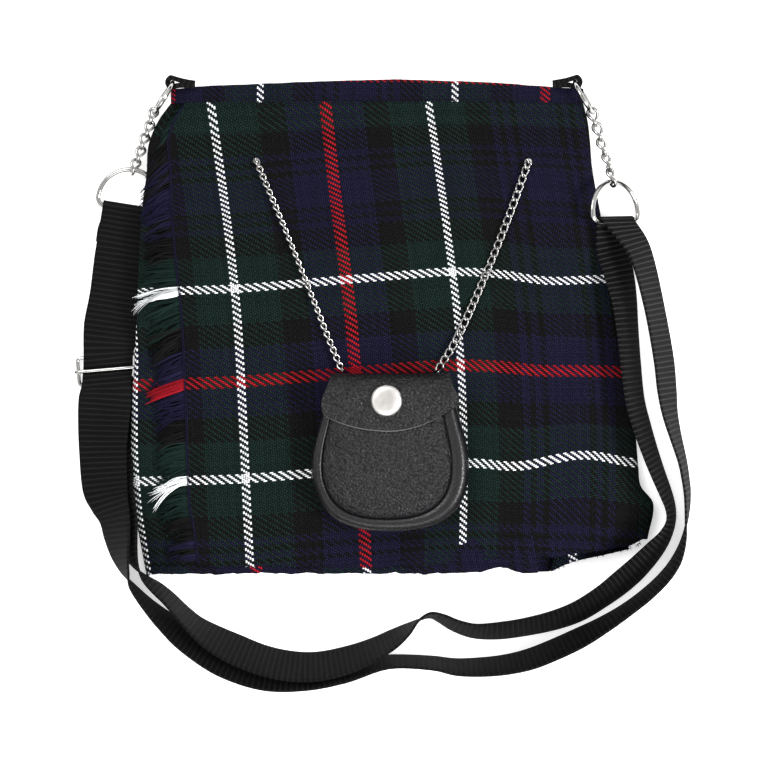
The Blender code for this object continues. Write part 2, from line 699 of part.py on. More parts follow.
def webbing_share(point):
    """The webbing is squeezed a little narrower where it runs through the rings and the slide."""
    share = 1.0
    for place, narrow, reach in ((LEFT_RING, 0.92, 14.0), (RIGHT_RING, 0.80, 34.0), (SLIDE, 0.91, 20.0)):
        away = (Vector(point[:2]) - Vector(chosen(place["middle"])[:2])).length / reach
        share = min(share, mix(narrow, 1.0, min(max(away - 0.4, 0.0) / 0.6, 1.0)))
    return share


def strap_stations(rows, way):
    """Middle points and half-width vectors along one run of the strap."""
    stations = []
    rows = [chosen(row) for row in rows]
    last = len(rows) - 1
    for i, (x, y, lean, lift) in enumerate(rows):
        before, after = rows[max(i - 1, 0)], rows[min(i + 1, last)]
        tangent = Vector((after[0] - before[0], after[1] - before[1], 0.0))
        inner = level_across(x, y, tangent * way)
        a = math.radians(lean)
        half = WEBBING_WIDTH / 2 * webbing_share((x, y))
        across = (inner * math.cos(a) + Vector((0, 0, math.sin(a)))) * half
        height = half * math.sin(a) + WEBBING / 2 * abs(math.cos(a)) + lift
        stations.append((Vector((x, y, height)), across))
    return stations


def loop_stations(middle, bar, start, sweep, radius, count=7):
    """The webbing's turn about a bar. start is the direction from the bar to the first point."""
    half = bar * WEBBING_WIDTH / 2 * webbing_share(middle)
    stations = []
    for i in range(count):
        turn = Matrix.Rotation(math.radians(sweep) * i / (count - 1), 3, bar)
        stations.append((Vector(middle) + turn @ start.normalized() * radius, half))
    return stations


def make_strap(material):
    radius = STRAP_RING_WIRE / 2 + FIT + WEBBING / 2
    left_bar, left_arch, _ = bar_frame(LEFT_RING)
    right_bar, right_arch, right_face = bar_frame(RIGHT_RING)
    left_middle = Vector(chosen(LEFT_RING["middle"]))
    below = Vector((0, 0, -1))
    floor = WEBBING / 2 + 0.1
    half = left_bar * WEBBING_WIDTH / 2
    stations = []
    for back, share in ((1.0, 1.0), (0.6, 1.0), (0.3, webbing_share(left_middle))):
        point = left_middle - left_arch * STRAP_TAIL * back
        stations.append((Vector((point.x, point.y, floor)), half * share))
    stations += loop_stations(left_middle, left_bar, below, 180, radius)
    stations += strap_stations(STRAP_OUT, 1)
    up = right_face if right_face.z > 0 else -right_face
    middle = Vector(chosen(RIGHT_RING["middle"]))
    width = -right_bar if right_bar.x > 0 else right_bar
    way = 180 if width.cross(up).dot(right_arch) > 0 else -180
    stations += loop_stations(middle, width, up, way, radius)
    stations += strap_stations(STRAP_BACK, -1)
    slide_bar, slide_up = slide_frame()
    low_bar = Vector(chosen(SLIDE["middle"])) - slide_up * (SLIDE_HEIGHT / 2)
    turn = SLIDE_WIRE / 2 + FIT + WEBBING / 2
    stations += loop_stations(low_bar, slide_bar, below, 180, turn)
    for back in (0.4, 0.75):
        point = low_bar - slide_up * STRAP_TAIL * back
        stations.append((Vector((point.x, point.y, 2.4)), slide_bar * WEBBING_WIDTH / 2))
    rows = [[(point + across * edge) * MM for point, across in stations] for edge in (-1, 1)]
    return sheet("strap", rows, WEBBING, material)


def slide_frame():
    heading = math.radians(SLIDE["heading"])
    bar = Vector((math.cos(heading), math.sin(heading), 0.0))
    return bar, Vector((-bar.y, bar.x, 0.0))


def make_slide(material):
    """A wire frame with a raised middle bar, which the webbing runs through."""
    bar, up = slide_frame()
    middle = Vector(chosen(SLIDE["middle"]))
    half, tall, corner = SLIDE_WIDTH / 2, SLIDE_HEIGHT / 2, 2.0
    points = []
    for cx, cy, first in ((half, tall, 0), (-half, tall, 90), (-half, -tall, 180), (half, -tall, 270)):
        centre_x = cx - math.copysign(corner, cx)
        centre_y = cy - math.copysign(corner, cy)
        for angle in (first, first + 45, first + 90):
            a = math.radians(angle)
            points.append((middle + bar * (centre_x + corner * math.cos(a))
                           + up * (centre_y + corner * math.sin(a))) * MM)
    frame = to_mesh(wire("slide", points, SLIDE_WIRE, material, resolution=1))
    reach = half
    rise = Vector((0, 0, SLIDE_BAR_RISE))
    bar_points = [middle - bar * reach, middle - bar * (reach - 0.1) + rise * 0.5,
                  middle - bar * (reach - 1.1) + rise, middle + bar * (reach - 1.1) + rise,
                  middle + bar * (reach - 0.1) + rise * 0.5, middle + bar * reach]
    centre = to_mesh(wire("slide_bar", [point * MM for point in bar_points], SLIDE_WIRE, material,
                          closed=False, resolution=1))
    fuse(frame, [centre])
    return frame


def link_points(centre, heading, level, roll, twist, length):
    """One curb link: an oval whose two ends are twisted opposite ways about the chain's line."""
    up = level.cross(heading)
    count = 12
    bow = length / 2
    half = (LINK_WIDTH - LINK_WIRE) / 2
    points = []
    for i in range(count):
        a = math.tau * i / count
        along = math.copysign(abs(math.cos(a)) ** 0.8, math.cos(a))
        turn = math.radians(roll + twist * math.copysign(abs(along) ** 0.6, along))
        width = level * math.cos(turn) + up * math.sin(turn)
        points.append((centre + heading * bow * along + width * half * math.sin(a)) * MM)
    return points


def make_side_chain(name, start, end, roll_start, roll_end, material):
    """Curb links from a corner ring to a strap ring, fused where they hook."""
    start, end = Vector(start), Vector(end)
    heading = (end - start).normalized()
    level = Vector((heading.y, -heading.x, 0.0)).normalized()
    pitch = ((end - start).length - LINK_BITE) / SIDE_LINKS
    length = pitch + LINK_BITE
    twist = LINK_TWIST + (roll_end - roll_start) / (SIDE_LINKS - 1) / 2
    links = []
    for i in range(SIDE_LINKS):
        centre = start + heading * (length / 2 + pitch * i) + level * LINK_SWAY * (-1) ** i
        roll = mix(roll_start, roll_end, i / (SIDE_LINKS - 1))
        part = name if i == 0 else name + "_link_" + str(i)
        links.append(to_mesh(wire(part, link_points(centre, heading, level, roll, twist, length), LINK_WIRE,
                                  material, resolution=1)))
    fuse(links[0], links[1:])
    return links[0]


def make_purse_chain(name, route, material):
    """The envelope of a fine curb chain, from its hole in the apron to the back of the purse."""
    radius = PURSE_CHAIN / 2
    top = [(x, y, top_surface(x, down_at(y)) + radius + FIT) for x, y in map(chosen, route)]
    first = Vector(top[0])
    way = (Vector(top[1]) - first).normalized()
    start_height = top_surface(first.x, down_at(first.y)) - 2 * CLOTH - FIT
    points = [Vector((first.x, first.y, start_height)), Vector((first.x, first.y, start_height + 2.0)),
              first + way * 0.9 + Vector((0, 0, -0.5)), first + way * 2.6]
    for here, there in zip(top[:-1], top[1:]):
        here, there = Vector(here), Vector(there)
        for share in (0.5, 1.0):
            x, y = mix(here.x, there.x, share), mix(here.y, there.y, share)
            points.append(Vector((x, y, top_surface(x, down_at(y)) + radius + FIT)))
    return wire(name, [point * MM for point in points], PURSE_CHAIN, material, closed=False)


def purse_base():
    """The plane that the purse's flat back lies in: its height at the mouth, and its slope."""
    top_y, bottom_y = PURSE_TOP, PURSE_TOP - PURSE_HEIGHT
    high = top_surface(PURSE_X, down_at(top_y))
    low = top_surface(PURSE_X, down_at(bottom_y + PURSE_HANG))
    slope = (high - low) / (PURSE_HEIGHT - PURSE_HANG)
    lift = 0.0
    for i in range(12):
        y = mix(top_y, bottom_y, i / 11)
        lift = max(lift, top_surface(PURSE_X, down_at(y)) - (high - slope * (top_y - y)))
    return high + lift + FIT, slope


def purse_point(out, down, up):
    """A point of the purse from its own sizes: across, down from the mouth, up from its back."""
    base, slope = purse_base()
    return vec(PURSE_X + out, PURSE_TOP - down, base - slope * down + up)


def purse_outline():
    """The outline from the mouth's left corner round to its right one, as (out, down) shares."""
    half = [(row["out"], row["down"]) for row in PURSE_OUTLINE]
    return [(-out, down) for out, down in half] + [(out, down) for out, down in half[-2::-1]]


def make_purse_body(material):
    """The back and the gusset of the purse, open at the mouth and in front."""
    outline = purse_outline()
    half, middle = PURSE_WIDTH / 2, 0.5
    rings = []
    for row in PURSE_WALL:
        ring = []
        for out, down in outline:
            x = out * half * row["out"]
            y = (middle + (down - middle) * (row["out"] if down > middle else 1.0)) * PURSE_HEIGHT
            ring.append(purse_point(x, y, row["up"] * PURSE_DEPTH))
        rings.append(ring)
    size = len(outline)
    points = [point for ring in rings for point in ring]
    faces = grid_faces(len(rings), size)
    faces.append(tuple(reversed(range(size))))
    obj = add_mesh("sporran_body", points, faces, material)
    thicken(obj, PURSE_LEATHER, -1.0)
    return obj


def make_purse_panel(material):
    """The front panel, a little domed, inside the gusset's rolled edge."""
    outline = purse_outline()
    half, middle = PURSE_WIDTH / 2, 0.5
    edge = PURSE_WALL[-1]["up"] * PURSE_DEPTH
    rows = []
    for share, dome in ((0.30, 2.2), (0.62, 1.9), (0.86, 1.2), (0.97, 0.3), (1.0, 0.0)):
        ring = []
        for out, down in outline:
            inset = PANEL_SHARE * share
            x = out * half * inset
            top = 0.06
            centre = mix(top, 1.0, 0.45)
            y = (centre + (max(down, top) - centre) * (inset if down > centre else share)) * PURSE_HEIGHT
            ring.append(purse_point(x, y, edge + dome - 0.8))
        rows.append(ring)
    points = [point for ring in rows for point in ring]
    size = len(outline)
    faces = grid_faces(len(rows), size, closed=True)
    faces.append(tuple(reversed(range(size))))
    obj = add_mesh("sporran_panel", points, faces, material)
    thicken(obj, PURSE_LEATHER, 0.0)
    return obj


def make_purse_flap(material):
    """The flap: on the back, over the mouth and down the front, with a bowed lower edge."""
    half = PURSE_WIDTH / 2
    columns = 13
    rows = []
    last = FLAP_ROWS[-1]["down"]
    for row in FLAP_ROWS:
        points = []
        for j in range(columns):
            across = 2 * j / (columns - 1) - 1
            bow = max(0.0, row["down"] / last) ** 2
            drop = mix(row["down"], 1.0, bow * (1 - abs(across) ** 2.2)) if row["up"] > 1.0 else row["down"]
            points.append(purse_point(across * row["out"] * half, drop * FLAP_DROP, row["up"] * PURSE_DEPTH))
        rows.append(points)
    return sheet("sporran_flap", rows, FLAP_LEATHER, material)


def make_snap(material):
    """A turned cap, a little domed, on the front of the flap."""
    radius = SNAP_DIAMETER / 2
    profile = [(0.0, SNAP_HEIGHT), (0.55 * radius, SNAP_HEIGHT * 0.93), (0.85 * radius, SNAP_HEIGHT * 0.7),
               (radius, SNAP_HEIGHT * 0.3), (radius * 0.97, 0.0), (0.0, 0.0)]
    mesh = bpy.data.meshes.new("snap_cap")
    mesh.from_pydata([(x * MM, 0, z * MM) for x, z in profile], [(i, i + 1) for i in range(5)], [])
    obj = bpy.data.objects.new("snap_cap", mesh)
    obj.data.materials.append(material)
    BAG.objects.link(obj)
    screw = obj.modifiers.new("turn", "SCREW")
    screw.steps = 20
    screw.render_steps = 20
    screw.use_merge_vertices = True
    screw.merge_threshold = 0.00001
    _, slope = purse_base()
    top = FLAP_ROWS[-1]["up"] * PURSE_DEPTH + FLAP_LEATHER / 2 + FIT
    obj.location = purse_point(SNAP_X, SNAP_DOWN, top)
    obj.rotation_euler = (math.atan(slope), 0.0, 0.0)
    return obj


def build():
    tartan = make_material("tartan", (0.03, 0.03, 0.07), 0.9, 0.0)
    lining = make_material("pouch_cloth", (0.02, 0.02, 0.02), 0.8, 0.0)
    webbing = make_material("webbing", (0.015, 0.015, 0.015), 0.7, 0.0)
    leather = make_material("leather", (0.02, 0.02, 0.022), 0.45, 0.0)
    nickel = make_material("nickel", (0.75, 0.74, 0.72), 0.25, 1.0)
    apron = make_apron(tartan)
    under = make_under_apron(tartan)
    for name, place in chain_ends().items():
        cutter = chain_hole_cutter("chain_hole_" + name, place)
        cut(apron, cutter)
        cut(under, cutter)
    make_pleats(tartan)
    make_fringe(tartan)
    make_waistband(tartan)
    make_pouch(lining)
    make_tab("tab_left", CORNER_RING_LEFT, -1, webbing)
    make_tab("tab_right", CORNER_RING_RIGHT, 1, webbing)
    make_corner_ring("corner_ring_left", CORNER_RING_LEFT, nickel)
    make_corner_ring("corner_ring_right", CORNER_RING_RIGHT, nickel)
    make_strap_ring("strap_ring_left", LEFT_RING, nickel)
    make_strap_ring("strap_ring_right", RIGHT_RING, nickel)
    make_side_chains(nickel)
    make_strap(webbing)
    make_slide(nickel)
    make_purse_body(leather)
    make_purse_panel(leather)
    make_purse_flap(leather)
    make_snap(nickel)
    make_purse_chain("sporran_chain_left", PURSE_CHAIN_LEFT, nickel)
    make_purse_chain("sporran_chain_right", PURSE_CHAIN_RIGHT, nickel)


def make_side_chains(material):
    """Each chain runs from the inside of a corner ring's lowest bow to inside a strap ring's arch."""
    hook = LINK_WIRE / 2 + FIT * 1.5
    for name, ends, ring, rolls in (("chain_left", CORNER_RING_LEFT, LEFT_RING, (45.0, 45.0)),
                                    ("chain_right", CORNER_RING_RIGHT, RIGHT_RING, (45.0, 81.0))):
        _, arch, _ = bar_frame(ring)
        lower = Vector(chosen(ends[1]))
        crown = Vector(chosen(ring["middle"])) + arch * STRAP_RING_DEPTH
        heading = (crown - lower).normalized()
        start = lower - heading * (CORNER_RING_WIRE / 2 + hook)
        end = crown + heading * (STRAP_RING_WIRE / 2 + hook)
        make_side_chain(name, start, end, rolls[0], rolls[1], material)


build()
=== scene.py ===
"""Looks of a tartan handbag cut like a small kilt, lying on its pleated back with its strap round the hem.

Woven tartan thread by thread, a fringe of loose threads, ribbed webbing, grained leather and chains of
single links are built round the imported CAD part.
+X is to the right of the front, +Y from the hem to the waistband, +Z up from the surface that it lies on.
Named sizes are in millimetres. Tables of sections hold shares of the named sizes.
"""
import functools
import math
import random

import bpy
from mathutils import Matrix, Vector, noise


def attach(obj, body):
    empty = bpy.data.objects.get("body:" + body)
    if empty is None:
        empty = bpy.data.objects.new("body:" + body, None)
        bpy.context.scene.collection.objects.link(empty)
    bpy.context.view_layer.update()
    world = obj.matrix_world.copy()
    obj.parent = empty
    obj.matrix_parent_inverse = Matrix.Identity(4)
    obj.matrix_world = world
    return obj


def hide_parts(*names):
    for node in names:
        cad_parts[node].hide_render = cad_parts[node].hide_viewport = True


MM = 0.001
FIT = 0.3
SEED = 11

# The kilt's cloth body
HALF_WIDTH = 137.0
SKIRT_LENGTH = 253.5
WAIST_Y = 154.0
BODY_DEPTH = 27.5
EDGE_DEPTH = 5.5
SIDE_LIFT = 10.5
SIDE_ZONE = 35.0
CROWN_POWER = 2.4
CLOTH = 1.2
LAYER_GAP = 0.7
SIDE_FOLD = 6.0
SIDE_RETURN = 8.5
RETURN_GAP = 2.0
PLEATS = 9
PLEAT_UNDER = 14.0
PLEAT_RISE = 4.0
UNDER_APRON_SHARE = 0.78
CLOTH_RIPPLE = 0.3
HEM_RAG = 1.1
HEM_FRAYS = 420
APRON_GRID = 190, 165
UNDER_GRID = 130, 100
PLEAT_ROWS = 110

# The waistband and its tabs
BAND_HEIGHT = 11.0
BAND_GAP = 0.8
BAND_WALL = 2.0
BAND_END_DROP = 6.0
BAND_STITCHES = 118
BAND_ROWS = 11
BAND_COLUMNS = 150
BAND_WHITE_X = 86.0
TAB_WIDTH = 7.0
TAB_LENGTH = 12.0
TAB_THICK = 2.6

# The woven threads, and the fringe of them along the apron's free edge
THREAD = 1.14
WEFT_COUNT = 1.2
WHITE_LINE = 52.0
SETT_REPEAT = 220.0
FRINGE_LENGTH = 20.0
FRINGE_STRANDS = 1350
FRINGE_CURL = 3.2
FRINGE_DROOP = 0.35
STRAND = 0.30

# The strap and its rings
WEBBING_WIDTH = 30.0
WEBBING = 1.3
WEBBING_RIB = 2.9
STRAP_TAIL = 20.0
STRAP_RING_WIDTH = 34.6
STRAP_RING_DEPTH = 22.0
STRAP_RING_WIRE = 2.8
CORNER_RING = 19.5
CORNER_RING_WIRE = 2.4
CORNER_RING_TILT = 10.0
SLIDE_WIDTH = 32.6
SLIDE_HEIGHT = 15.0
SLIDE_WIRE = 2.2
SLIDE_BAR_RISE = 3.0

# The chains
LINK_WIDTH = 7.8
LINK_WIRE = 1.8
LINK_BITE = 1.4
LINK_TWIST = 42.0
LINK_SWAY = 0.17
SIDE_LINKS = 5
PURSE_CHAIN = 4.0
FINE_LINKS = 28
FINE_LINK_WIDTH = 4.9
FINE_LINK_WIRE = 1.25
FINE_TWIST = 38.0
CHAIN_EYELET = 3.0

# The leather purse
PURSE_WIDTH = 85.0
PURSE_HEIGHT = 77.5
PURSE_DEPTH = 13.0
PURSE_LEATHER = 1.6
PURSE_TOP = -2.0
PURSE_HANG = 12.0
PURSE_X = 1.5
PANEL_SHARE = 0.785
PANEL_X = -1.9
PANEL_TOP = 0.06
FLAP_DROP = 23.5
FLAP_LEATHER = 1.8
EDGE_ROWS = 2
FLAP_SKEW = 0.04
FLAP_TILT = 2.1
SNAP_DIAMETER = 16.8
SNAP_HEIGHT = 2.6
SNAP_X = -2.1
SNAP_DOWN = 6.9

# The camera looks straight down on the bag
CAMERA_HEIGHT = 1600.0
VIEW_WIDTH = 422.4
CAMERA_X = -1.925
SENSOR = 36.0

# The studio's brightness from its dark foot to overhead, by the height looked at
SKY = [(0.0, 0.03), (0.30, 0.06), (0.44, 1.0), (0.82, 1.0), (0.95, 0.42)]
SKY_STRENGTH = 1.35
FLOOR_GLOW = 0.55


def table(names, *rows):
    """Rows of numbers as dictionaries with these names."""
    return [dict(zip(names.split(), row)) for row in rows]


# Shares of SKIRT_LENGTH, HALF_WIDTH, BODY_DEPTH and SIDE_LIFT down the skirt
SKIRT_ROWS = table(
    "down left right crown lift_left lift_right",
    (0.00, 0.865, 0.782, 0.60, 0.45, 0.45), (0.04, 0.918, 0.800, 0.64, 0.58, 0.48),
    (0.09, 0.955, 0.810, 0.71, 0.75, 0.52), (0.15, 0.962, 0.818, 0.79, 0.92, 0.58),
    (0.23, 0.980, 0.843, 0.88, 1.00, 0.60), (0.33, 0.992, 0.874, 0.95, 0.95, 0.60),
    (0.44, 1.000, 0.906, 0.99, 0.80, 0.60), (0.55, 1.012, 0.936, 1.00, 0.70, 0.58),
    (0.65, 1.022, 0.964, 1.00, 0.65, 0.55), (0.75, 1.026, 0.990, 0.99, 0.58, 0.50),
    (0.84, 1.016, 1.004, 0.95, 0.48, 0.42), (0.88, 1.008, 1.014, 0.90, 0.41, 0.35),
    (0.92, 0.994, 1.064, 0.82, 0.34, 0.28), (1.00, 0.966, 1.042, 0.58, 0.15, 0.12),
)

# Place of the apron's fringed edge, as a share of the skirt's width from its left side
SEAM_ROWS = table(
    "down seam",
    (0.00, 0.035), (0.06, 0.040), (0.15, 0.054), (0.30, 0.074), (0.49, 0.097), (0.71, 0.112),
    (1.00, 0.104),
)

# The hems' drop below the nominal hem across the skirt, as shares of BODY_DEPTH
HEM_COLUMNS = table(
    "across front back",
    (-1.00, 0.00, 0.18), (-0.50, 0.00, 0.14), (0.05, 0.00, 0.14), (0.30, -0.12, 0.12),
    (0.42, -0.16, 0.02), (0.48, -0.17, 0.12), (0.63, -0.20, 0.10), (0.68, -0.23, -0.04),
    (0.88, -0.36, -0.26), (1.00, -0.54, -0.45),
)

# The waistband's top edge across the bag, as a share of BAND_END_DROP below its highest place
BAND_TOP = table(
    "across drop",
    (-0.98, 0.74), (-0.94, 0.70), (-0.885, 0.58), (-0.62, 0.40), (-0.40, 0.25), (-0.15, 0.10),
    (0.10, 0.00), (0.33, 0.12), (0.55, 0.25), (0.82, 0.58), (0.88, 0.66), (0.98, 0.72),
)

# How much of the red line beside the band's top edge shows, across the bag
BAND_RED = ((-0.30, 0.0), (-0.02, 1.0), (0.60, 1.0), (0.82, 0.0))

# Down the apron's edge: how far the fringe reaches, as a share of FRINGE_LENGTH, and how steeply it falls
FRINGE_REACH = table(
    "down reach fall",
    (0.00, 0.30, 0.5), (0.07, 0.55, 0.8), (0.12, 0.85, 0.9), (0.17, 1.05, 0.6), (0.24, 0.95, 0.25),
    (0.34, 1.15, 0.06), (0.40, 1.30, 0.12), (0.48, 1.20, 0.45), (0.60, 1.10, 0.34), (0.72, 1.05, 0.16),
    (0.82, 1.05, 0.20), (1.00, 0.95, 0.02),
)

# Where three upright lines of the tartan lie down the apron, as shares of HALF_WIDTH:
# the red line, and the white lines to its left and right
SETT_UPRIGHTS = table(
    "down left red right",
    (0.00, -0.697, -0.247, 0.155), (0.20, -0.642, -0.207, 0.208), (0.36, -0.605, -0.168, 0.246),
    (0.49, -0.583, -0.140, 0.272), (0.74, -0.559, -0.107, 0.294), (1.00, -0.539, -0.083, 0.290),
)

# Heights of the tartan's level lines, in threads down from a red line and as shares of SKIRT_LENGTH,
# and how far they sag across the apron, as shares of HALF_WIDTH
SETT_LEVELS = table(
    "level thread",
    (0.000, -160.0), (0.049, -148.0), (0.093, -135.0), (0.173, -110.0), (0.252, -85.0), (0.301, -72.0),
    (0.369, -52.0), (0.567, 0.0), (0.773, 52.0), (1.060, 124.0),
)
SETT_SAG = table(
    "across sag",
    (-1.00, 0.080), (-0.94, 0.0766), (-0.59, 0.0657), (-0.31, 0.0438), (-0.15, 0.0307), (0.13, 0.008),
    (0.26, 0.000), (0.60, 0.011), (0.88, 0.030), (1.00, 0.040),
)

# Small waves of the level lines: place as shares of HALF_WIDTH, half its width and height, and how far the
# line rises, in millimetres
SETT_WAVES = [
    (0.80, -0.31, 24.0, 26.0, 7.2), (1.02, -0.31, 14.0, 26.0, 2.6), (0.50, -0.31, 14.0, 26.0, -1.6),
    (0.63, 0.43, 20.0, 24.0, -3.0), (0.90, 0.43, 10.0, 24.0, 0.9), (0.61, 0.06, 18.0, 18.0, -1.5),
    (0.95, 0.06, 14.0, 18.0, 0.9),
]

# Which thread of the under-apron lies on its side fold
UNDER_EDGE = table(
    "down thread",
    (0.00, -24.0), (0.30, -40.0), (0.48, -52.0), (0.62, -54.4), (0.84, -55.4), (1.00, -53.8),
)

# Half the sett from the middle of a red line: the first thread of each stripe and its colour
SETT = [
    (0, "red"), (3, "navy"), (19, "black"), (32, "green"), (50, "white"), (55, "green"), (72, "black"),
    (85, "navy"), (89, "black"), (92, "navy"), (96, "black"), (99, "navy"),
]
THREADS = {
    "red": (0.27, 0.008, 0.015), "navy": (0.0094, 0.0086, 0.0250), "black": (0.0064, 0.0060, 0.0064),
    "green": (0.0072, 0.0165, 0.0138), "white": (0.82, 0.84, 0.85),
}

# Half the purse's outline from the middle of its mouth to its lowest point,
# as shares of half PURSE_WIDTH and of PURSE_HEIGHT below the mouth
PURSE_OUTLINE = table(
    "out down",
    (0.76, 0.00), (0.82, 0.10), (0.89, 0.24), (0.97, 0.40), (1.00, 0.55), (0.97, 0.69), (0.86, 0.83),
    (0.66, 0.93), (0.36, 0.985), (0.00, 1.00),
)

# The purse's side wall from back to front, then in over its rolled rim:
# shares of PURSE_DEPTH up, of the outline out and of PANEL_X across
PURSE_WALL = [
    (0.00, 0.955, 0.0), (0.12, 0.985, 0.0), (0.40, 1.00, 0.0), (0.70, 0.99, 0.0), (0.88, 0.962, 0.0),
    (0.98, 0.925, 0.1), (1.00, 0.885, 0.3), (0.985, 0.852, 0.6), (0.93, 0.824, 0.9), (0.83, 0.806, 1.0),
    (0.72, 0.80, 1.0),
]

# The flap from its back edge over the mouth to its front edge: shares of PURSE_DEPTH up,
# of FLAP_DROP down and of half PURSE_WIDTH out
FLAP_ROWS = table(
    "up down out",
    (0.06, -0.05, 0.72), (0.20, -0.22, 0.735), (0.60, -0.29, 0.745), (1.00, -0.20, 0.765),
    (1.20, 0.00, 0.80), (1.24, 0.16, 0.845), (1.24, 0.34, 0.868), (1.24, 0.50, 0.855),
    (1.24, 0.59, 0.800),
)

# Middle line of the strap from the left ring round to the right ring, chosen from the photo: x as a share
# of HALF_WIDTH, y in millimetres, lean in degrees from flat (90 is on edge) and any lift of its lower edge
STRAP_OUT = [
    (-1.049, 81.9, 0, 2.4), (-1.066, 68.0, 0, 2.0), (-1.086, 47.9, 0, 0.2), (-1.106, 33.0, 0, 2.2),
    (-1.111, 24.0, 0, 4.4), (-1.117, 15.5, 0, 4.4), (-1.120, 8.0, 0, 3.0), (-1.123, 0.5, 0, 5.9),
    (-1.128, -8.5, 6, 6.2), (-1.133, -20.0, 18, 4.4), (-1.136, -36.1, 27, 2.8),
    (-1.127, -56.8, 32, 2.8), (-1.106, -66.0, 43, 2.4), (-1.085, -74.2, 53, 2.0),
    (-1.076, -84.0, 59, 1.4), (-1.063, -94.3, 68, 0.6), (-1.042, -103.0, 78, 0.2), (-1.016, -110.1, 89),
    (-0.956, -119.8, 96), (-0.881, -129.6, 104), (-0.790, -139.6, 112), (-0.651, -151.4, 116),
    (-0.488, -158.8, 116), (-0.328, -159.6, 113), (-0.169, -156.8, 107), (0.002, -151.4, 98),
    (0.173, -152.0, 98), (0.272, -154.2, 101), (0.376, -154.2, 103), (0.472, -152.9, 104),
    (0.567, -149.9, 105), (0.666, -144.6, 105), (0.766, -138.2, 104), (0.861, -131.0, 100),
    (0.949, -123.2, 97), (1.031, -114.6, 96), (1.099, -105.7, 95), (1.147, -96.5, 93),
    (1.177, -85.5, 88), (1.190, -73.0, 82), (1.193, -61.0, 79), (1.185, -51.2, 78), (1.172, -41.4, 77),
    (1.146, -28.5, 74), (1.124, -16.0, 70), (1.112, -3.0, 66), (1.099, 14.0, 65), (1.066, 39.3, 65),
    (1.026, 63.0, 62), (0.990, 76.5, 54, 1.0),
]

# The same from the right ring back to the slide, along the inner side
STRAP_BACK = [
    (0.895, 74.5, 44), (0.921, 61.0, 52), (0.942, 46.9, 60), (0.955, 30.5, 64), (0.969, 10.4, 66),
    (0.985, -8.7, 67), (1.013, -23.4, 68), (1.045, -37.1, 70), (1.077, -49.1, 72), (1.107, -59.4, 74),
    (1.126, -67.6, 76), (1.127, -75.0, 76), (1.105, -82.6, 72), (1.063, -90.2, 66), (0.998, -99.8, 62),
    (0.934, -107.6, 61), (0.858, -115.6, 63), (0.764, -123.6, 64), (0.664, -128.8, 66),
    (0.543, -132.6, 68), (0.436, -134.6, 69), (0.343, -134.6, 72), (0.270, -131.6, 75),
    (0.216, -127.8, 78), (0.171, -126.0, 81), (0.127, -128.6, 86), (0.080, -133.6, 96),
    (0.022, -139.0, 104), (-0.054, -144.6, 108), (-0.153, -150.2, 113), (-0.277, -154.0, 115),
    (-0.388, -153.8, 116), (-0.499, -150.5, 116), (-0.607, -144.6, 116), (-0.699, -138.0, 111),
    (-0.766, -131.4, 104), (-0.821, -124.0, 100), (-0.873, -116.6, 98), (-0.920, -111.0, 96),
    (-0.965, -105.8, 90), (-1.000, -99.6, 80), (-1.025, -91.8, 70), (-1.044, -82.9, 60),
    (-1.058, -73.7, 52), (-1.083, -65.6, 41), (-1.107, -56.4, 30), (-1.120, -40.2, 16),
    (-1.123, -24.3, 4), (-1.123, -14.3, 0, 0.1),
]

# Where the corner rings and fine chains lie, chosen from the photo: x as a share of HALF_WIDTH, then y and
# height in millimetres
CORNER_RINGS = {
    "left": ((-0.8555, 164.6, 12.0), (-0.9328, 148.0, 11.0)),
    "right": ((0.7467, 164.8, 12.0), (0.8182, 148.2, 11.0)),
}
PURSE_CHAINS = {
    "left": [(-0.5197, 121.0), (-0.4204, 89.0), (-0.3226, 56.0), (-0.2307, 24.0), (-0.1796, 7.4)],
    "right": [(0.5591, 121.0), (0.4774, 90.0), (0.3839, 58.0), (0.2788, 26.0), (0.1971, 7.4)],
}

# The strap's rings and slide: the bar's middle, as above, and its heading, lean and pitch in degrees
STRAP_RINGS = {
    "left": {"middle": (-1.0394, 95.8, 3.4), "heading": -9.0, "lean": 0.0, "pitch": 6.0},
    "right": {"middle": (0.9095, 88.6, 12.6), "heading": 184.0, "lean": 40.0, "pitch": 0.0},
}
SLIDE = {"middle": (-1.1204, 8.0, 2.7), "heading": 5.0}

# Turns of the links in degrees: a side chain's first and last, a fine chain's ends and what its middle adds
SIDE_ROLLS = {"left": (70.0, 70.0), "right": (45.0, 81.0)}
FINE_ROLLS = {"left": (58.0, 20.0), "right": (30.0, -62.0)}
WAY = {"left": -1, "right": 1}


def mix(a, b, share):
    return a + (b - a) * share


def clamp(value, low, high):
    return min(max(value, low), high)


def chosen(point):
    """A point chosen from the photo, in millimetres."""
    return (point[0] * HALF_WIDTH, *point[1:])


def turning(first, last, count):
    """The (cosine, sine) of this many angles from one to the other, in degrees."""
    angles = (math.radians(mix(first, last, i / (count - 1))) for i in range(count))
    return [(math.cos(angle), math.sin(angle)) for angle in angles]


@functools.cache
def circle(count):
    return turning(0.0, 360.0, count + 1)[:-1]


def read(rows, key, name, at):
    """A column of a table of rows, read smoothly at one place along it."""
    places, values = [row[key] for row in rows], [row[name] for row in rows]
    last = len(rows) - 1
    at = clamp(at, places[0], places[-1])
    i = clamp(sum(place <= at for place in places) - 1, 0, last - 1)
    span = places[i + 1] - places[i]
    share = (at - places[i]) / span
    slopes = []
    for j in (i, i + 1):
        low, high = max(j - 1, 0), min(j + 1, last)
        slopes.append((values[high] - values[low]) / (places[high] - places[low]) * span)
    square, cube = share ** 2, share ** 3
    return (values[i] * (2 * cube - 3 * square + 1) + slopes[0] * (cube - 2 * square + share)
            + values[i + 1] * (3 * square - 2 * cube) + slopes[1] * (cube - square))


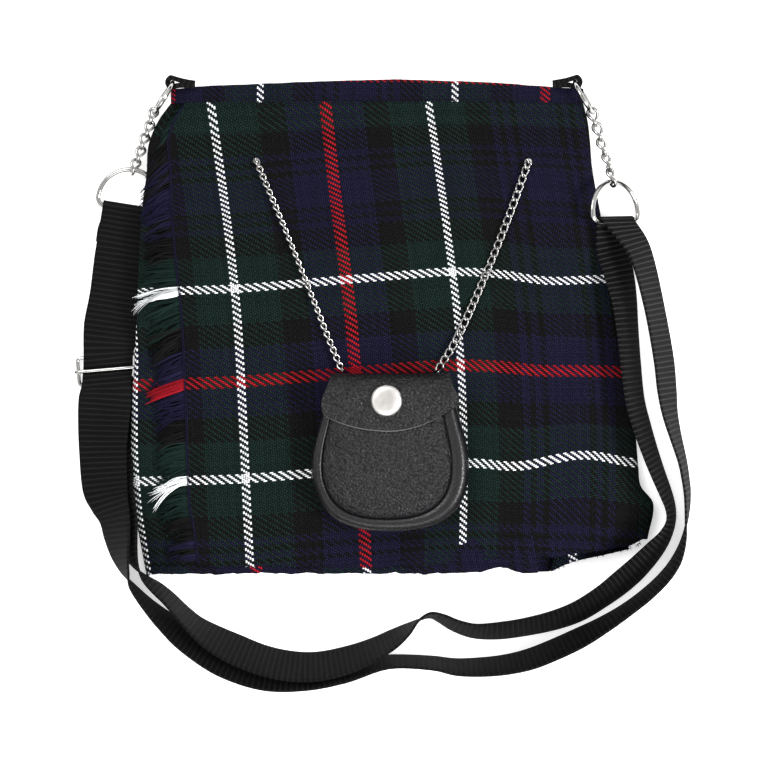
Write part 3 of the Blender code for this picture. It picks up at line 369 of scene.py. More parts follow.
def finer(points, steps, closed=False):
    """More points along a line of points, on a smooth curve through them."""
    points = [Vector(point) for point in points]
    count = len(points)
    made = []
    for i in range(count if closed else count - 1):
        a, b, c, d = (points[k % count if closed else clamp(k, 0, count - 1)] for k in range(i - 1, i + 3))
        for j in range(steps):
            t = j / steps
            made.append(0.5 * (2 * b + (c - a) * t + (2 * a - 5 * b + 4 * c - d) * t ** 2
                               + (3 * b - a - 3 * c + d) * t ** 3))
    return made if closed else made + [points[-1]]


def soften(points, passes):
    """The same points drawn a little towards their neighbours, with the ends kept."""
    for _ in range(passes):
        inner = [(a + b * 2 + c) / 4 for a, b, c in zip(points, points[1:], points[2:])]
        points = [points[0], *inner, points[-1]]
    return points


def lengths(points):
    """How far along the line each of its points is."""
    made = [0.0]
    for a, b in zip(points, points[1:]):
        made.append(made[-1] + (b - a).length)
    return made


def add_object(name, data):
    obj = bpy.data.objects.new(name, data)
    bpy.context.scene.collection.objects.link(obj)
    return obj


def tube_frames(line, closed):
    """Two directions square to the line at each point, turned as little as can be along it."""
    count = len(line)
    ways = []
    for i in range(count):
        before = line[i - 1] if closed else line[max(i - 1, 0)]
        after = line[(i + 1) % count] if closed else line[min(i + 1, count - 1)]
        ways.append((after - before).normalized())
    side = ways[0].orthogonal().normalized()
    sides = []
    for way in ways:
        side = (side - way * side.dot(way)).normalized()
        sides.append(side)
    drift = 0.0
    if closed:
        end = (side - ways[0] * side.dot(ways[0])).normalized()
        drift = math.atan2(end.cross(sides[0]).dot(ways[0]), end.dot(sides[0]))
    frames = []
    for i, (way, side) in enumerate(zip(ways, sides)):
        side = Matrix.Rotation(drift * i / count, 3, way) @ side
        frames.append((side, way.cross(side)))
    return frames


class Shape:
    """Points in millimetres, faces and texture places of one piece, gathered from its runs."""

    def __init__(self):
        self.points, self.faces, self.places = [], [], []

    def add_grid(self, rows, closed=False, keep=None):
        """A sheet through rows of (point, place) pairs. keep says which faces stay, from their middle."""
        first, columns = len(self.points), len(rows[0])
        for row in rows:
            self.points += [point for point, _ in row]
            self.places += [place for _, place in row]
        for i in range(len(rows) - 1):
            for j in range(columns if closed else columns - 1):
                low, high, right = first + i * columns, first + (i + 1) * columns, (j + 1) % columns
                face = [low + j, low + right, high + right, high + j]
                if keep is None or keep(sum((self.points[corner] for corner in face), Vector()) / 4):
                    self.faces.append(face)
        return self

    def add_tube(self, line, radius, sides, closed=False, place=(0.0, 0.0), taper=0.0, power=1.0):
        """A round wire along a line of points, or a thread that grows thinner by a share of its radius."""
        count = len(line)
        rings = []
        for i, (middle, (side, up)) in enumerate(zip(line, tube_frames(line, closed))):
            size = radius * (1.0 - taper * (i / (count - 1)) ** power)
            rings.append([(middle + (side * c + up * s) * size, place) for c, s in circle(sides)])
        self.add_grid(rings + rings[:1] if closed else rings, closed=True)
        if not closed:
            last = len(self.points) - sides
            first = last - (count - 1) * sides
            self.faces += [list(range(first, first + sides))[::-1], list(range(last, last + sides))]
        return self

    def make(self, name, material):
        mesh = bpy.data.meshes.new(name)
        mesh.from_pydata([point * MM for point in self.points], [], self.faces)
        mesh.update()
        layer = mesh.uv_layers.new(name="threads")
        corners = [0] * len(mesh.loops)
        mesh.loops.foreach_get("vertex_index", corners)
        layer.data.foreach_set("uv", [value for corner in corners for value in self.places[corner]])
        mesh.shade_smooth()
        mesh.materials.append(material)
        obj = add_object(name, mesh)
        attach(obj, "root")
        return obj


def make_sheet(name, material, rows, thickness, rounding, offset=0.0, closed=False, keep=None):
    """A piece of one thickness through rows of (point, place) pairs, with its edges rounded."""
    obj = Shape().add_grid(rows, closed, keep).make(name, material)
    shell = obj.modifiers.new("shell", "SOLIDIFY")
    shell.thickness = thickness * MM
    shell.offset = offset
    if rounding:
        edge = obj.modifiers.new("edge", "BEVEL")
        edge.width = rounding * MM
        edge.segments = 2
        edge.limit_method = "ANGLE"
        edge.angle_limit = math.radians(60)
    return obj


@functools.cache
def skirt(name, down):
    return read(SKIRT_ROWS, "down", name, down)


def side(down, which):
    """Where the skirt's side fold is."""
    return skirt(which, down) * HALF_WIDTH * WAY[which]


def across_share(x, down):
    left, right = side(down, "left"), side(down, "right")
    return (x - (left + right) / 2) / ((right - left) / 2)


def low_surface(x, down):
    """Height of the skirt's underside, flat in the middle and lifted towards its sides."""
    reached = {which: max(0.0, 1.0 - abs(x - side(down, which)) / SIDE_ZONE) for which in WAY}
    return sum(SIDE_LIFT * skirt("lift_" + which, down) * reached[which] ** 1.5 for which in WAY)


def top_surface(x, down):
    """Height of the skirt's front, crowned between its two side folds."""
    across = across_share(x, down)
    edge = SIDE_LIFT * skirt("lift_left" if across < 0 else "lift_right", down) + EDGE_DEPTH
    crown = max(skirt("crown", down) * BODY_DEPTH, edge)
    return mix(edge, crown, 1.0 - min(abs(across), 1.0) ** CROWN_POWER)


def plan_y(x, down, hem):
    drop = read(HEM_COLUMNS, "across", hem, across_share(x, down)) * BODY_DEPTH
    rag = HEM_RAG * max(0.0, down - 0.9) * 10
    drop += rag * (noise.noise(Vector((x / 8, SEED, 1))) + 0.6 * noise.noise(Vector((x / 2.6, SEED, 2))))
    return WAIST_Y - down * (SKIRT_LENGTH + drop)


@functools.cache
def seam_x(down):
    return mix(side(down, "left"), side(down, "right"), read(SEAM_ROWS, "down", "seam", down))


def down_at(y):
    return (WAIST_Y - y) / SKIRT_LENGTH


def ripple(x, y):
    """Slight unevenness of the cloth, always inwards."""
    broad = noise.noise(Vector((x / 42, y / 60, SEED)))
    small = noise.noise(Vector((x / 15, y / 18, SEED + 5)))
    return CLOTH_RIPPLE * (broad + 0.35 * small - 1.0)


@functools.cache
def uprights(down):
    return [read(SETT_UPRIGHTS, "down", name, down) * HALF_WIDTH for name in ("left", "red", "right")]


def warp_thread(x, down):
    """Which upright thread of the tartan lies at this place of the apron."""
    left, red, right = uprights(down)
    if x < left:
        return (x - left) / THREAD - WHITE_LINE
    if x > right:
        return WHITE_LINE + (x - right) / (THREAD * 0.89)
    if x < red:
        return mix(-WHITE_LINE, 0.0, (x - left) / (red - left))
    return mix(0.0, WHITE_LINE, (x - red) / (right - red))


def weft_thread(x, y):
    """Which level thread of the tartan lies at this place."""
    sag = read(SETT_SAG, "across", "sag", x / HALF_WIDTH) * HALF_WIDTH
    sag *= min(1.0, 0.3 + 4.0 * max(down_at(y), 0.0))
    for across, up, wide, tall, rise in SETT_WAVES:
        away = ((x - across * HALF_WIDTH) / wide) ** 2 + ((y - up * HALF_WIDTH) / tall) ** 2
        sag -= rise * math.exp(-away)
    level = (WAIST_Y - y - sag) / SKIRT_LENGTH
    i = sum(row["level"] <= level for row in SETT_LEVELS[1:-1])
    low, high = SETT_LEVELS[i], SETT_LEVELS[i + 1]
    return mix(low["thread"], high["thread"], (level - low["level"]) / (high["level"] - low["level"]))


def side_fold(down, which, outset):
    """The turn of cloth at a side fold, from its top to its underside, as (x, height) pairs."""
    way, edge = WAY[which], side(down, which)
    start, end = edge - way * SIDE_FOLD, edge - way * SIDE_RETURN
    high, low = top_surface(start, down) - outset, low_surface(start, down) + CLOTH / 2
    turn = [(start + way * (SIDE_FOLD - CLOTH / 2) * c, (high + low) / 2 + (high - low) / 2 * s)
            for c, s in turning(80, -90, 18)]
    back = low_surface(end, down) + CLOTH / 2
    return turn + [(mix(turn[-1][0], end, share), back) for share in (0.5, 1.0)]


def skirt_path(down, start, end, outset, which, count):
    """One level line over the front and round a side fold, as (x, 0, height) vectors."""
    front = [mix(start, end, i / (count - 1)) for i in range(count - 1)]
    path = [(x, top_surface(x, down) - outset) for x in front] + side_fold(down, which, outset)
    return soften([Vector((x, 0.0, z)) for x, z in path], 2)


def add_ramp(tree, stops, kind):
    """A colour ramp through (place, colour) stops."""
    ramp = tree.nodes.new("ShaderNodeValToRGB")
    ramp.color_ramp.interpolation = kind
    elements = ramp.color_ramp.elements
    for _ in stops[2:]:
        elements.new(0.5)
    for element, (place, colour) in zip(elements, stops):
        element.position = place
        element.color = (*colour, 1.0)
    return ramp


class Graph:
    """A material and short words for adding nodes to it."""

    def __init__(self, name):
        self.material = bpy.data.materials.new(name)
        self.material.use_nodes = True
        self.tree = self.material.node_tree
        self.shader = self.tree.nodes["Principled BSDF"]

    def feed(self, socket, value):
        if isinstance(value, bpy.types.NodeSocket):
            self.tree.links.new(value, socket)
        else:
            socket.default_value = value

    def node(self, kind, inputs, **settings):
        """A node with these settings, and with these inputs by name or number."""
        made = self.tree.nodes.new(kind)
        for key, value in settings.items():
            setattr(made, key, value)
        for key, value in inputs.items():
            self.feed(made.inputs[key], value)
        return made

    def math(self, operation, *values):
        return self.node("ShaderNodeMath", dict(enumerate(values)), operation=operation).outputs[0]

    def times(self, *values):
        return functools.reduce(lambda a, b: self.math("MULTIPLY", a, b), values)

    def plus(self, *values):
        return functools.reduce(lambda a, b: self.math("ADD", a, b), values)

    def minus(self, a, b):
        return self.math("SUBTRACT", a, b)

    def humps(self, value, each):
        """Round humps along a value, one for each of this length."""
        return self.math("ABSOLUTE", self.math("SINE", self.times(value, math.pi / each)))

    def scaled(self, colour, amount):
        """A colour made darker or lighter by a number."""
        return self.node("ShaderNodeVectorMath", {0: colour, "Scale": amount}, operation="SCALE").outputs[0]

    def split(self, vector):
        return self.node("ShaderNodeSeparateXYZ", {0: vector}).outputs

    def places(self):
        """The two texture coordinates of the piece."""
        return self.split(self.node("ShaderNodeUVMap", {}, uv_map="threads").outputs[0])[:2]

    def position(self):
        return self.node("ShaderNodeTexCoord", {}).outputs["Object"]

    def noise(self, size, detail=2.0, output=0):
        """Noise with features of about this size in millimetres."""
        inputs = {"Vector": self.position(), "Scale": 1.0 / (size * MM), "Detail": detail}
        return self.node("ShaderNodeTexNoise", inputs).outputs[output]

    def random(self, value):
        return self.node("ShaderNodeTexWhiteNoise", {"W": value}, noise_dimensions="1D").outputs["Value"]

    def spread(self, value, low, high):
        """A value from 0 to 1 laid out between two others."""
        return self.node("ShaderNodeMapRange", {"Value": value, "To Min": low, "To Max": high}).outputs[0]

    def bump(self, height, depth, below=None):
        inputs = {"Strength": 1.0, "Distance": depth * MM, "Height": height}
        if below is not None:
            inputs["Normal"] = below
        return self.node("ShaderNodeBump", inputs).outputs[0]

    def finish(self, colour, roughness, normal, specular=0.5, metallic=0.0):
        names = "Base Color", "Roughness", "Normal", "Specular IOR Level", "Metallic"
        for name, value in zip(names, (colour, roughness, normal, specular, metallic)):
            self.feed(self.shader.inputs[name], value)
        return self.material


def sett_colour(graph, count, closeness=1.0, white_less=0.0):
    """The colour of a thread from its number, counted from the middle of a red line."""
    number = graph.plus(graph.math("FLOOR", count), 0.5)
    half = graph.math("PINGPONG", graph.math("DIVIDE", number, closeness), SETT_REPEAT / 2)
    stops = [((first + (white_less if name == "white" else 0.0)) / (SETT_REPEAT / 2), THREADS[name])
             for first, name in SETT]
    ramp = add_ramp(graph.tree, stops, "CONSTANT")
    graph.feed(ramp.inputs[0], graph.math("DIVIDE", half, SETT_REPEAT / 2))
    return graph.scaled(ramp.outputs[0], graph.spread(graph.random(number), 0.78, 1.22))


def make_tartan():
    """A two-and-two twill: each thread is drawn from the piece's places, counted in threads."""
    graph = Graph("tartan")
    across, level = graph.places()
    down = graph.times(level, WEFT_COUNT)
    warp, weft = graph.math("FLOOR", across), graph.math("FLOOR", down)
    step = graph.math("FLOORED_MODULO", graph.minus(warp, weft), 4.0)
    warp_shows = graph.math("LESS_THAN", step, 1.5)
    colours = sett_colour(graph, down, WEFT_COUNT), sett_colour(graph, across, white_less=1.0)
    colour = graph.node("ShaderNodeMix", {0: warp_shows, 6: colours[0], 7: colours[1]}, data_type="RGBA")
    warp_along, weft_along = graph.minus(warp, down), graph.minus(graph.minus(across, weft), 3.0)
    heights = []
    for count, along, shows in ((across, warp_along, warp_shows),
                                (down, weft_along, graph.minus(1.0, warp_shows))):
        rounded = graph.math("SINE", graph.times(graph.math("FRACT", count), math.pi))
        heights.append(graph.times(rounded, graph.math("COSINE", graph.times(along, math.pi / 2)), shows))
    height = graph.math("MAXIMUM", graph.plus(*heights), 0.0)
    # Painted shade in the hollows between the threads' floats, and a little painted highlight on their
    # crowns.
    painted_weave_shade = graph.spread(graph.times(graph.minus(height, 0.15), 1.9), 0.22, 1.18)
    fibre = graph.noise(0.35, 3.0)
    worn = graph.spread(graph.noise(9.0, 3.0), 0.86, 1.14)
    shade = graph.times(painted_weave_shade, worn, graph.spread(fibre, 0.8, 1.2))
    normal = graph.bump(graph.plus(height, graph.times(fibre, 0.35)), 0.3)
    return graph.finish(graph.scaled(colour.outputs[2], shade), 0.92, normal, 0.06)


def make_thread():
    """Loose threads take the colour of their place in the weft."""
    graph = Graph("loose_threads")
    yarn, down = graph.places()
    fibre = graph.noise(0.5, 3.0)
    shade = graph.times(graph.spread(fibre, 0.6, 1.35), graph.spread(yarn, 0.6, 1.25))
    return graph.finish(graph.scaled(sett_colour(graph, down), shade), 0.95, graph.bump(fibre, 0.2), 0.06)


def make_webbing():
    """Ribbed webbing from its places in millimetres, with painted highlights on its ribs, brightest on the
    strap at the bag's right.
    """
    graph = Graph("webbing")
    across, along = graph.places()
    x, y, _ = graph.split(graph.position())
    # Where the ribs get a painted highlight: on the strap at the bag's right, between the hem and the tabs,
    # where the strap stands on edge.
    right = graph.spread(graph.times(graph.plus(x, 0.05), 8.0), 0.0, 1.0)
    above_hem = graph.spread(graph.times(graph.plus(y, 0.115), 25.0), 0.0, 1.0)
    below_tabs = graph.spread(graph.times(graph.minus(y, 0.115), 50.0), 1.0, 0.0)
    along = graph.plus(along, graph.times(graph.noise(6.0), 0.5))
    rib = graph.math("POWER", graph.humps(along, WEBBING_RIB), 9.0)
    weave = graph.plus(graph.humps(across, 0.8), graph.humps(along, WEBBING_RIB / 3))
    fibre = graph.noise(0.3, 3.0)
    height = graph.plus(rib, graph.times(weave, 0.18), graph.times(fibre, 0.15))
    painted_rib_highlight = graph.spread(graph.times(rib, right, above_hem, below_tabs), 1.0, 2.8)
    # Painted highlights on the ribs and painted shade in the grooves between them.
    shade = graph.times(graph.spread(height, 0.22, 4.0), graph.spread(graph.noise(14.0), 0.8, 1.2), painted_rib_highlight)
    return graph.finish(graph.scaled((0.0030, 0.0029, 0.0030), shade), graph.spread(fibre, 0.6, 0.75),
                        graph.bump(height, 0.34), 0.03)


def make_leather(name, grain, depth, rough, shine):
    """Black leather with a pebbled grain of this size in millimetres, duller between its pebbles, with
    painted highlight on the pebbles and painted shade between them.
    """
    graph = Graph(name)
    drift = {0: graph.noise(grain * 2.2, output="Color"), 1: (grain * 1.1 * MM,) * 3, 2: graph.position()}
    warped = graph.node("ShaderNodeVectorMath", drift, operation="MULTIPLY_ADD").outputs[0]
    cells = graph.node("ShaderNodeTexVoronoi", {"Vector": warped, "Scale": 1.0 / (grain * MM),
                                                "Smoothness": 0.35}, feature="SMOOTH_F1")
    pebble = graph.times(graph.minus(0.78, cells.outputs["Distance"]), 1.6)
    creases, fine = graph.noise(grain * 7, 4.0), graph.noise(grain * 0.25)
    normal = graph.bump(fine, depth * 0.2, graph.bump(pebble, depth, graph.bump(creases, depth * 5)))
    # Painted highlight on the pebbles and painted shade between them.
    shade = graph.times(graph.spread(pebble, 0.6, 1.3), graph.spread(creases, 0.8, 1.25))
    return graph.finish(graph.scaled((0.0052, 0.0050, 0.0060), shade),
                        graph.spread(pebble, rough + 0.16, rough - 0.02), normal,
                        graph.spread(pebble, shine * 0.55, shine))


def make_cut_edge_and_highlight():
    """The raw edge of the cut leather, lighter partly by its own tone and partly by a painted highlight
    along the rounded edge.
    """
    graph = Graph("leather_cut_edge_and_highlight")
    fibre = graph.noise(0.4, 4.0)
    colour = graph.scaled((0.11, 0.107, 0.104), graph.spread(fibre, 0.5, 1.4))
    return graph.finish(colour, 0.8, graph.bump(fibre, 0.15), 0.2)


def make_metal(name, colour, rough, wear, depth):
    """Plated wire, or a cast cap, with light scratches and dull patches of about the wear's size."""
    graph = Graph(name)
    patches, scratches = graph.noise(wear, 4.0), graph.noise(wear * 0.12, 3.0)
    gloss = graph.plus(graph.spread(patches, rough - 0.05, rough + 0.07),
                       graph.spread(scratches, -0.03, 0.04))
    normal = graph.bump(scratches, depth * 0.3, graph.bump(patches, depth))
    return graph.finish(graph.scaled(colour, graph.spread(patches, 0.86, 1.1)), gloss, normal, metallic=1.0)


def make_lining():
    """Plain black cotton of the pouch inside."""
    graph = Graph("lining")
    weave, folds = graph.noise(0.5), graph.noise(12.0, 3.0)
    colour = graph.scaled((0.016, 0.016, 0.018), graph.spread(folds, 0.7, 1.3))
    return graph.finish(colour, 0.85, graph.bump(weave, 0.1, graph.bump(folds, 0.6)), 0.2)


def make_floor():
    """A whitish table lit a little from below, so that it stays white between the straps."""
    graph = Graph("floor")
    grain = graph.noise(40.0)
    graph.shader.inputs["Emission Color"].default_value = (1.0, 1.0, 1.0, 1.0)
    graph.shader.inputs["Emission Strength"].default_value = FLOOR_GLOW
    colour = graph.scaled((0.93, 0.93, 0.93), graph.spread(grain, 0.995, 1.005))
    return graph.finish(colour, 0.9, graph.bump(grain, 0.01), 0.1)


def clear_of_eyelets(point):
    """Whether the cloth is there, and not opened for a purse chain."""
    away = min(math.dist(point[:2], chosen(route[0])) for route in PURSE_CHAINS.values())
    return point.z <= EDGE_DEPTH or away >= CHAIN_EYELET / 2


def make_apron(material):
    rows = []
    count, columns = APRON_GRID
    for down in [i / (count - 1) for i in range(count)]:
        start, end = seam_x(down), side(down, "right") - SIDE_FOLD
        path = skirt_path(down, start, end, CLOTH / 2, "right", columns)
        row = []
        for point, along in zip(path, lengths(path)):
            y = plan_y(point.x, down, "front")
            if point.x <= end and point.z > top_surface(point.x, down) - 3.0:
                turned, turned_along = warp_thread(point.x, down), along
            place = turned + (along - turned_along) / THREAD, weft_thread(point.x, y)
            row.append((Vector((point.x, y, point.z + ripple(point.x, y))), place))
        rows.append(row)
    obj = make_sheet("apron_cloth", material, rows, CLOTH, 0.3, keep=clear_of_eyelets)
    return obj


def make_under_apron(material):
    rows = []
    count, columns = UNDER_GRID
    for down in [i / (count - 1) for i in range(count)]:
        left, right = side(down, "left"), side(down, "right")
        end = mix(left, right, UNDER_APRON_SHARE)
        path = skirt_path(down, end, left + SIDE_FOLD, CLOTH * 1.5 + LAYER_GAP, "left", columns)
        arcs = lengths(path)
        turn = arcs[min(range(len(path)), key=lambda k: path[k].x)]
        folded = read(UNDER_EDGE, "down", "thread", down)
        row = []
        for point, along in zip(path, arcs):
            y = plan_y(point.x, down, "back")
            place = folded - (along - turn) / THREAD, weft_thread(point.x, y)
            row.append((Vector((point.x, y, point.z + ripple(point.x, y))), place))
        rows.append(row)
    obj = make_sheet("under_apron_cloth", material, rows, CLOTH, 0.3, keep=clear_of_eyelets)
    return obj


def pleat_path(down):
    """Knife pleats seen from the hem, as (x, 0, height above the underside) vectors."""
    left = side(down, "left") + SIDE_RETURN + RETURN_GAP
    right = side(down, "right") - SIDE_RETURN - RETURN_GAP
    panel = (right - left) / PLEATS
    floor, step = CLOTH / 2, CLOTH + FIT
    turn = step / 2
    path = [(left, floor), (left + panel - PLEAT_UNDER + turn, floor)]
    for i in range(1, PLEATS):
        fold = left + panel * i
        back = fold - PLEAT_UNDER
        middle = (back + fold) / 2
        path += [(middle, floor), (fold - turn, floor), (fold - turn * 0.3, floor + turn * 0.3),
                 (fold, floor + turn), (fold - turn * 0.3, floor + step - turn * 0.3),
                 (fold - turn, floor + step), (middle, floor + step), (back + turn, floor + step),
                 (back, floor + step + turn), (back + turn, floor + 2 * step), (middle, floor + 2 * step),
                 (fold + PLEAT_RISE * 0.3, floor + 2 * step), (fold + PLEAT_RISE * 1.3, floor),
                 (fold + panel * 0.45, floor)]
    return [Vector((x, 0.0, z)) for x, z in path + [(right, floor)]]


def make_pleats(material):
    rows = []
    for down in [i / (PLEAT_ROWS - 1) for i in range(PLEAT_ROWS)]:
        path = pleat_path(down)
        row = []
        for point, along in zip(path, lengths(path)):
            y = plan_y(point.x, down, "back")
            frayed = noise.noise(Vector((point.x / 3.2, SEED, 0.0))) * 0.9 * max(0.0, down - 0.9) * 10
            place = along / THREAD - 22.0, weft_thread(point.x, y)
            row.append((Vector((point.x, y - frayed, point.z + low_surface(point.x, down))), place))
        rows.append(row)
    obj = make_sheet("pleated_back", material, rows, CLOTH - 0.15, 0.0)
    return obj


def band_top(across):
    return WAIST_Y + BAND_GAP + BAND_HEIGHT - read(BAND_TOP, "across", "drop", across) * BAND_END_DROP


def band_loop():
    """The waistband seen from above its mouth, as (x, height, share towards the front) points."""
    left, right = side(0.0, "left"), side(0.0, "right")
    across = [mix(left, right, (1 + mix(-0.975, 0.975, i / BAND_COLUMNS)) / 2)
              for i in range(BAND_COLUMNS + 1)]
    front = [(x, top_surface(x, 0.0), 1.0) for x in across]
    back = [(x, low_surface(x, 0.0), 0.0) for x in across[::-3]]
    ends = []
    for (x, high, _), edge in ((front[-1], right), (front[0], left)):
        low = low_surface(x, 0.0)
        ends.append([(mix(x, edge, out), mix(low, high, share), share)
                     for out, share in ((0.7, 0.92), (1.0, 0.72), (1.0, 0.28), (0.7, 0.08))])
    return front + ends[0] + back + ends[1][::-1]


def make_waistband(material):
    """A flattened loop of cloth about the mouth, its lower edge over the skirt."""
    loop = band_loop()
    rows = []
    for height in [i / BAND_ROWS for i in range(BAND_ROWS + 1)]:
        row = []
        for x, z, front in loop:
            across = across_share(x, 0.0)
            high = band_top(across) + 0.25 * noise.noise(Vector((x / 9, SEED, 3)))
            sink = 0.9 * (1 - min(height / 0.12, 1.0)) ** 2 * front
            lift = (0.35 * math.sin(math.pi * height) + 0.35 - sink) * (1.0 if front > 0.5 else -0.4)
            show = sum(mix(a, b, (across - start) / (end - start))
                       for (start, a), (end, b) in zip(BAND_RED, BAND_RED[1:]) if start <= across < end)
            place = (x - BAND_WHITE_X) / 0.93, mix(14.0, 3.6 - 1.7 * show, height)
            row.append((Vector((x, mix(WAIST_Y - 0.6, high, height), max(z + lift, 0.9))), place))
        rows.append(row)
    obj = make_sheet("waistband_cloth", material, rows, BAND_WALL * 0.8, 0.5, offset=-1.0, closed=True)
    around = lengths([Vector((x, 0.0, z)) for x, z, _ in loop + loop[:1]])[-1]
    return obj


def fringe_strand(chance, yarn, down, reach):
    """One fibre of a yarn, from under the apron's edge out to the left, as points."""
    start, edge = seam_x(down) + 1.2, side(down, "left")
    y = plan_y(start, down, "front")
    fall = read(FRINGE_REACH, "down", "fall", down) * yarn["fall"]
    spread = chance.gauss(0.0, yarn["spread"])
    line = []
    for share in [k / 9 for k in range(10)]:
        out = (reach + 1.2) * (share - 0.1 * share ** 3)
        x = start - out
        sway = yarn["sway"] * share * math.sin(5.0 * share + yarn["phase"])
        drop = fall * out + FRINGE_CURL * yarn["curl"] * share ** 2.4 - sway - spread * share
        height = top_surface(max(x, edge), down) + ripple(x, y) - FRINGE_DROOP * max(edge - x, 0.0)
        lifted = yarn["lift"] * (0.35 + 0.65 * math.sin(math.pi * min(share * 1.1, 1.0)))
        line.append(Vector((x, y - drop, max(height - 1.25 + lifted, 0.6))))
    return line


def fringe_yarn(number, half):
    """How a loosened weft yarn lies, by its place in the sett. Red yarns hold together, white ones part."""
    chance = random.Random(SEED * 1000 + number)
    red, white = half < 3.0, 50.0 < half < 55.0
    tuft = red or white
    part = 0.25 if red else 1.0
    return {"fall": mix(1.0, chance.uniform(0.5, 1.5), part), "sway": part * chance.uniform(0.2, 1.3),
            "curl": part * chance.uniform(-0.3, 1.7) * (3.6 if white else 1.0),
            "phase": chance.uniform(0.0, math.tau),
            "lift": chance.uniform(0.9, 2.0) if tuft else chance.uniform(0.2, 1.6),
            "reach": chance.uniform(0.9, 1.2) if tuft else chance.uniform(0.66, 1.0),
            "spread": 0.6 if white else 0.35, "shade": chance.random()}


def make_fringe(material):
    chance = random.Random(SEED)
    shape = Shape()
    for i in range(FRINGE_STRANDS):
        down = clamp(mix(0.012, 0.99, (i + chance.uniform(-0.4, 0.4)) / FRINGE_STRANDS), 0.0, 1.0)
        thread = weft_thread(seam_x(down), plan_y(seam_x(down), down, "front"))
        half = abs((thread + SETT_REPEAT / 2) % SETT_REPEAT - SETT_REPEAT / 2)
        yarn = fringe_yarn(math.floor(thread * WEFT_COUNT), half)
        reach = read(FRINGE_REACH, "down", "reach", down) * FRINGE_LENGTH * yarn["reach"]
        line = fringe_strand(chance, yarn, down, reach * chance.uniform(0.86, 1.0))
        shape.add_tube(line, STRAND * chance.uniform(0.75, 1.1), 5, taper=0.65, power=3,
                       place=(yarn["shade"], math.floor(thread) + 0.5))
    return shape.make("fringe_threads", material)


def make_edge_threads(material):
    """The last upright threads of the apron, which hold the fringe."""
    chance = random.Random(SEED + 1)
    shape = Shape()
    for offset in (0.2, 1.0):
        line = []
        for i in range(160):
            down = mix(0.01, 0.995, i / 159)
            x = seam_x(down) + offset + 0.25 * noise.noise(Vector((i / 4, offset * 9, SEED)))
            y = plan_y(x, down, "front")
            height = top_surface(x, down) + ripple(x, y) + 0.1 + chance.uniform(-0.1, 0.1)
            line.append(Vector((x, y, height)))
        shape.add_tube(line, 0.24, 6, place=(0.4, 10.5))
    return shape.make("apron_edge_threads", material)


def make_frays(material):
    """Short thread ends along the hems."""
    chance = random.Random(SEED + 2)
    left, right = side(1.0, "left") + 4, side(1.0, "right") - 4
    shape = Shape()
    for i in range(HEM_FRAYS):
        hem = "back" if i % 2 else "front"
        x = mix(left, right, chance.random())
        y = plan_y(x, 1.0, hem)
        height = low_surface(x, 1.0) + CLOTH / 2 if hem == "back" else top_surface(x, 1.0) - CLOTH
        reach, lean = chance.uniform(0.2, 0.9), chance.uniform(-0.5, 0.5)
        line = [Vector((x + lean * k, y + 0.8 - (reach + 0.8) * k / 3, height + chance.uniform(-0.1, 0.2)))
                for k in range(4)]
        thread = warp_thread(x, 1.0) if hem == "front" else 6.5 + chance.choice((0, 4, 20, 28))
        shape.add_tube(line, 0.3, 4, place=(0.0, math.floor(thread) + 0.5), taper=0.5)
    return shape.make("hem_frays", material)


def make_band_seam(material):
    """The dark line of stitches where the band is sewn to the skirt."""
    left, right = side(0.0, "left"), side(0.0, "right")
    shape = Shape()
    for i in range(BAND_STITCHES):
        start = mix(left + 4, right - 4, i / BAND_STITCHES)
        line = []
        for share in (0.0, 1 / 3, 2 / 3, 1.0):
            x = start + (right - left) / BAND_STITCHES * 0.8 * share
            arch = 0.3 * math.sin(math.pi * share)
            line.append(Vector((x, WAIST_Y + 0.7, top_surface(x, 0.0) + 0.05 + arch)))
        shape.add_tube(line, 0.3, 6, place=(0.0, 90.0))
    return shape.make("band_stitches", material)


def make_pouch(frame, material):
    """The lining bag: the CAD pouch in lining cloth, its facets joined and divided once."""
    obj = add_object("pouch_lining", frame["nodes"]["pouch"].data.copy())
    obj.data.name = "pouch_lining"
    obj.data.materials.clear()
    obj.data.materials.append(material)
    obj.data.shade_smooth()
    obj.modifiers.new("weld", "WELD").merge_threshold = 0.00001
    smooth = obj.modifiers.new("smooth", "SUBSURF")
    smooth.subdivision_type = "SIMPLE"
    smooth.levels = smooth.render_levels = 1
    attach(obj, "root")
    return obj


def bar_frame(place):
    """A ring's bar direction, its arch direction and their common normal."""
    heading, lean, pitch = (math.radians(place.get(name, 0.0)) for name in ("heading", "lean", "pitch"))
    bar = Vector((math.cos(heading) * math.cos(lean), math.sin(heading) * math.cos(lean), math.sin(lean)))
    flat = Vector((-math.sin(heading), math.cos(heading), 0.0)) * (-1 if math.cos(heading) < 0 else 1)
    up = bar.cross(flat).normalized()
    arch = (flat * math.cos(pitch) + up * math.sin(pitch) * (1 if up.z > 0 else -1)).normalized()
    return bar, arch, bar.cross(arch)


def ring_outline(width, depth):
    """A D from its bar at the bottom round its arch, as (along the bar, up the arch) pairs."""
    half, corner = width / 2, min(width, depth) * 0.2
    straight = half - corner
    return ([(mix(-straight, straight, i / 8), 0.0) for i in range(9)]
            + [(straight + corner * c, corner + corner * s) for c, s in turning(-75, -15, 5)]
            + [(half * c, corner + (depth - corner) * s) for c, s in turning(0, 180, 37)]
            + [(corner * c - straight, corner + corner * s) for c, s in turning(-165, -105, 5)])


def make_strap_ring(name, hand, material):
    bar, arch, _ = bar_frame(STRAP_RINGS[hand])
    middle = Vector(chosen(STRAP_RINGS[hand]["middle"]))
    outline = ring_outline(STRAP_RING_WIDTH, STRAP_RING_DEPTH)
    line = [middle + bar * along + arch * up for along, up in outline]
    return Shape().add_tube(line, STRAP_RING_WIRE / 2, 16, closed=True).make(name, material)


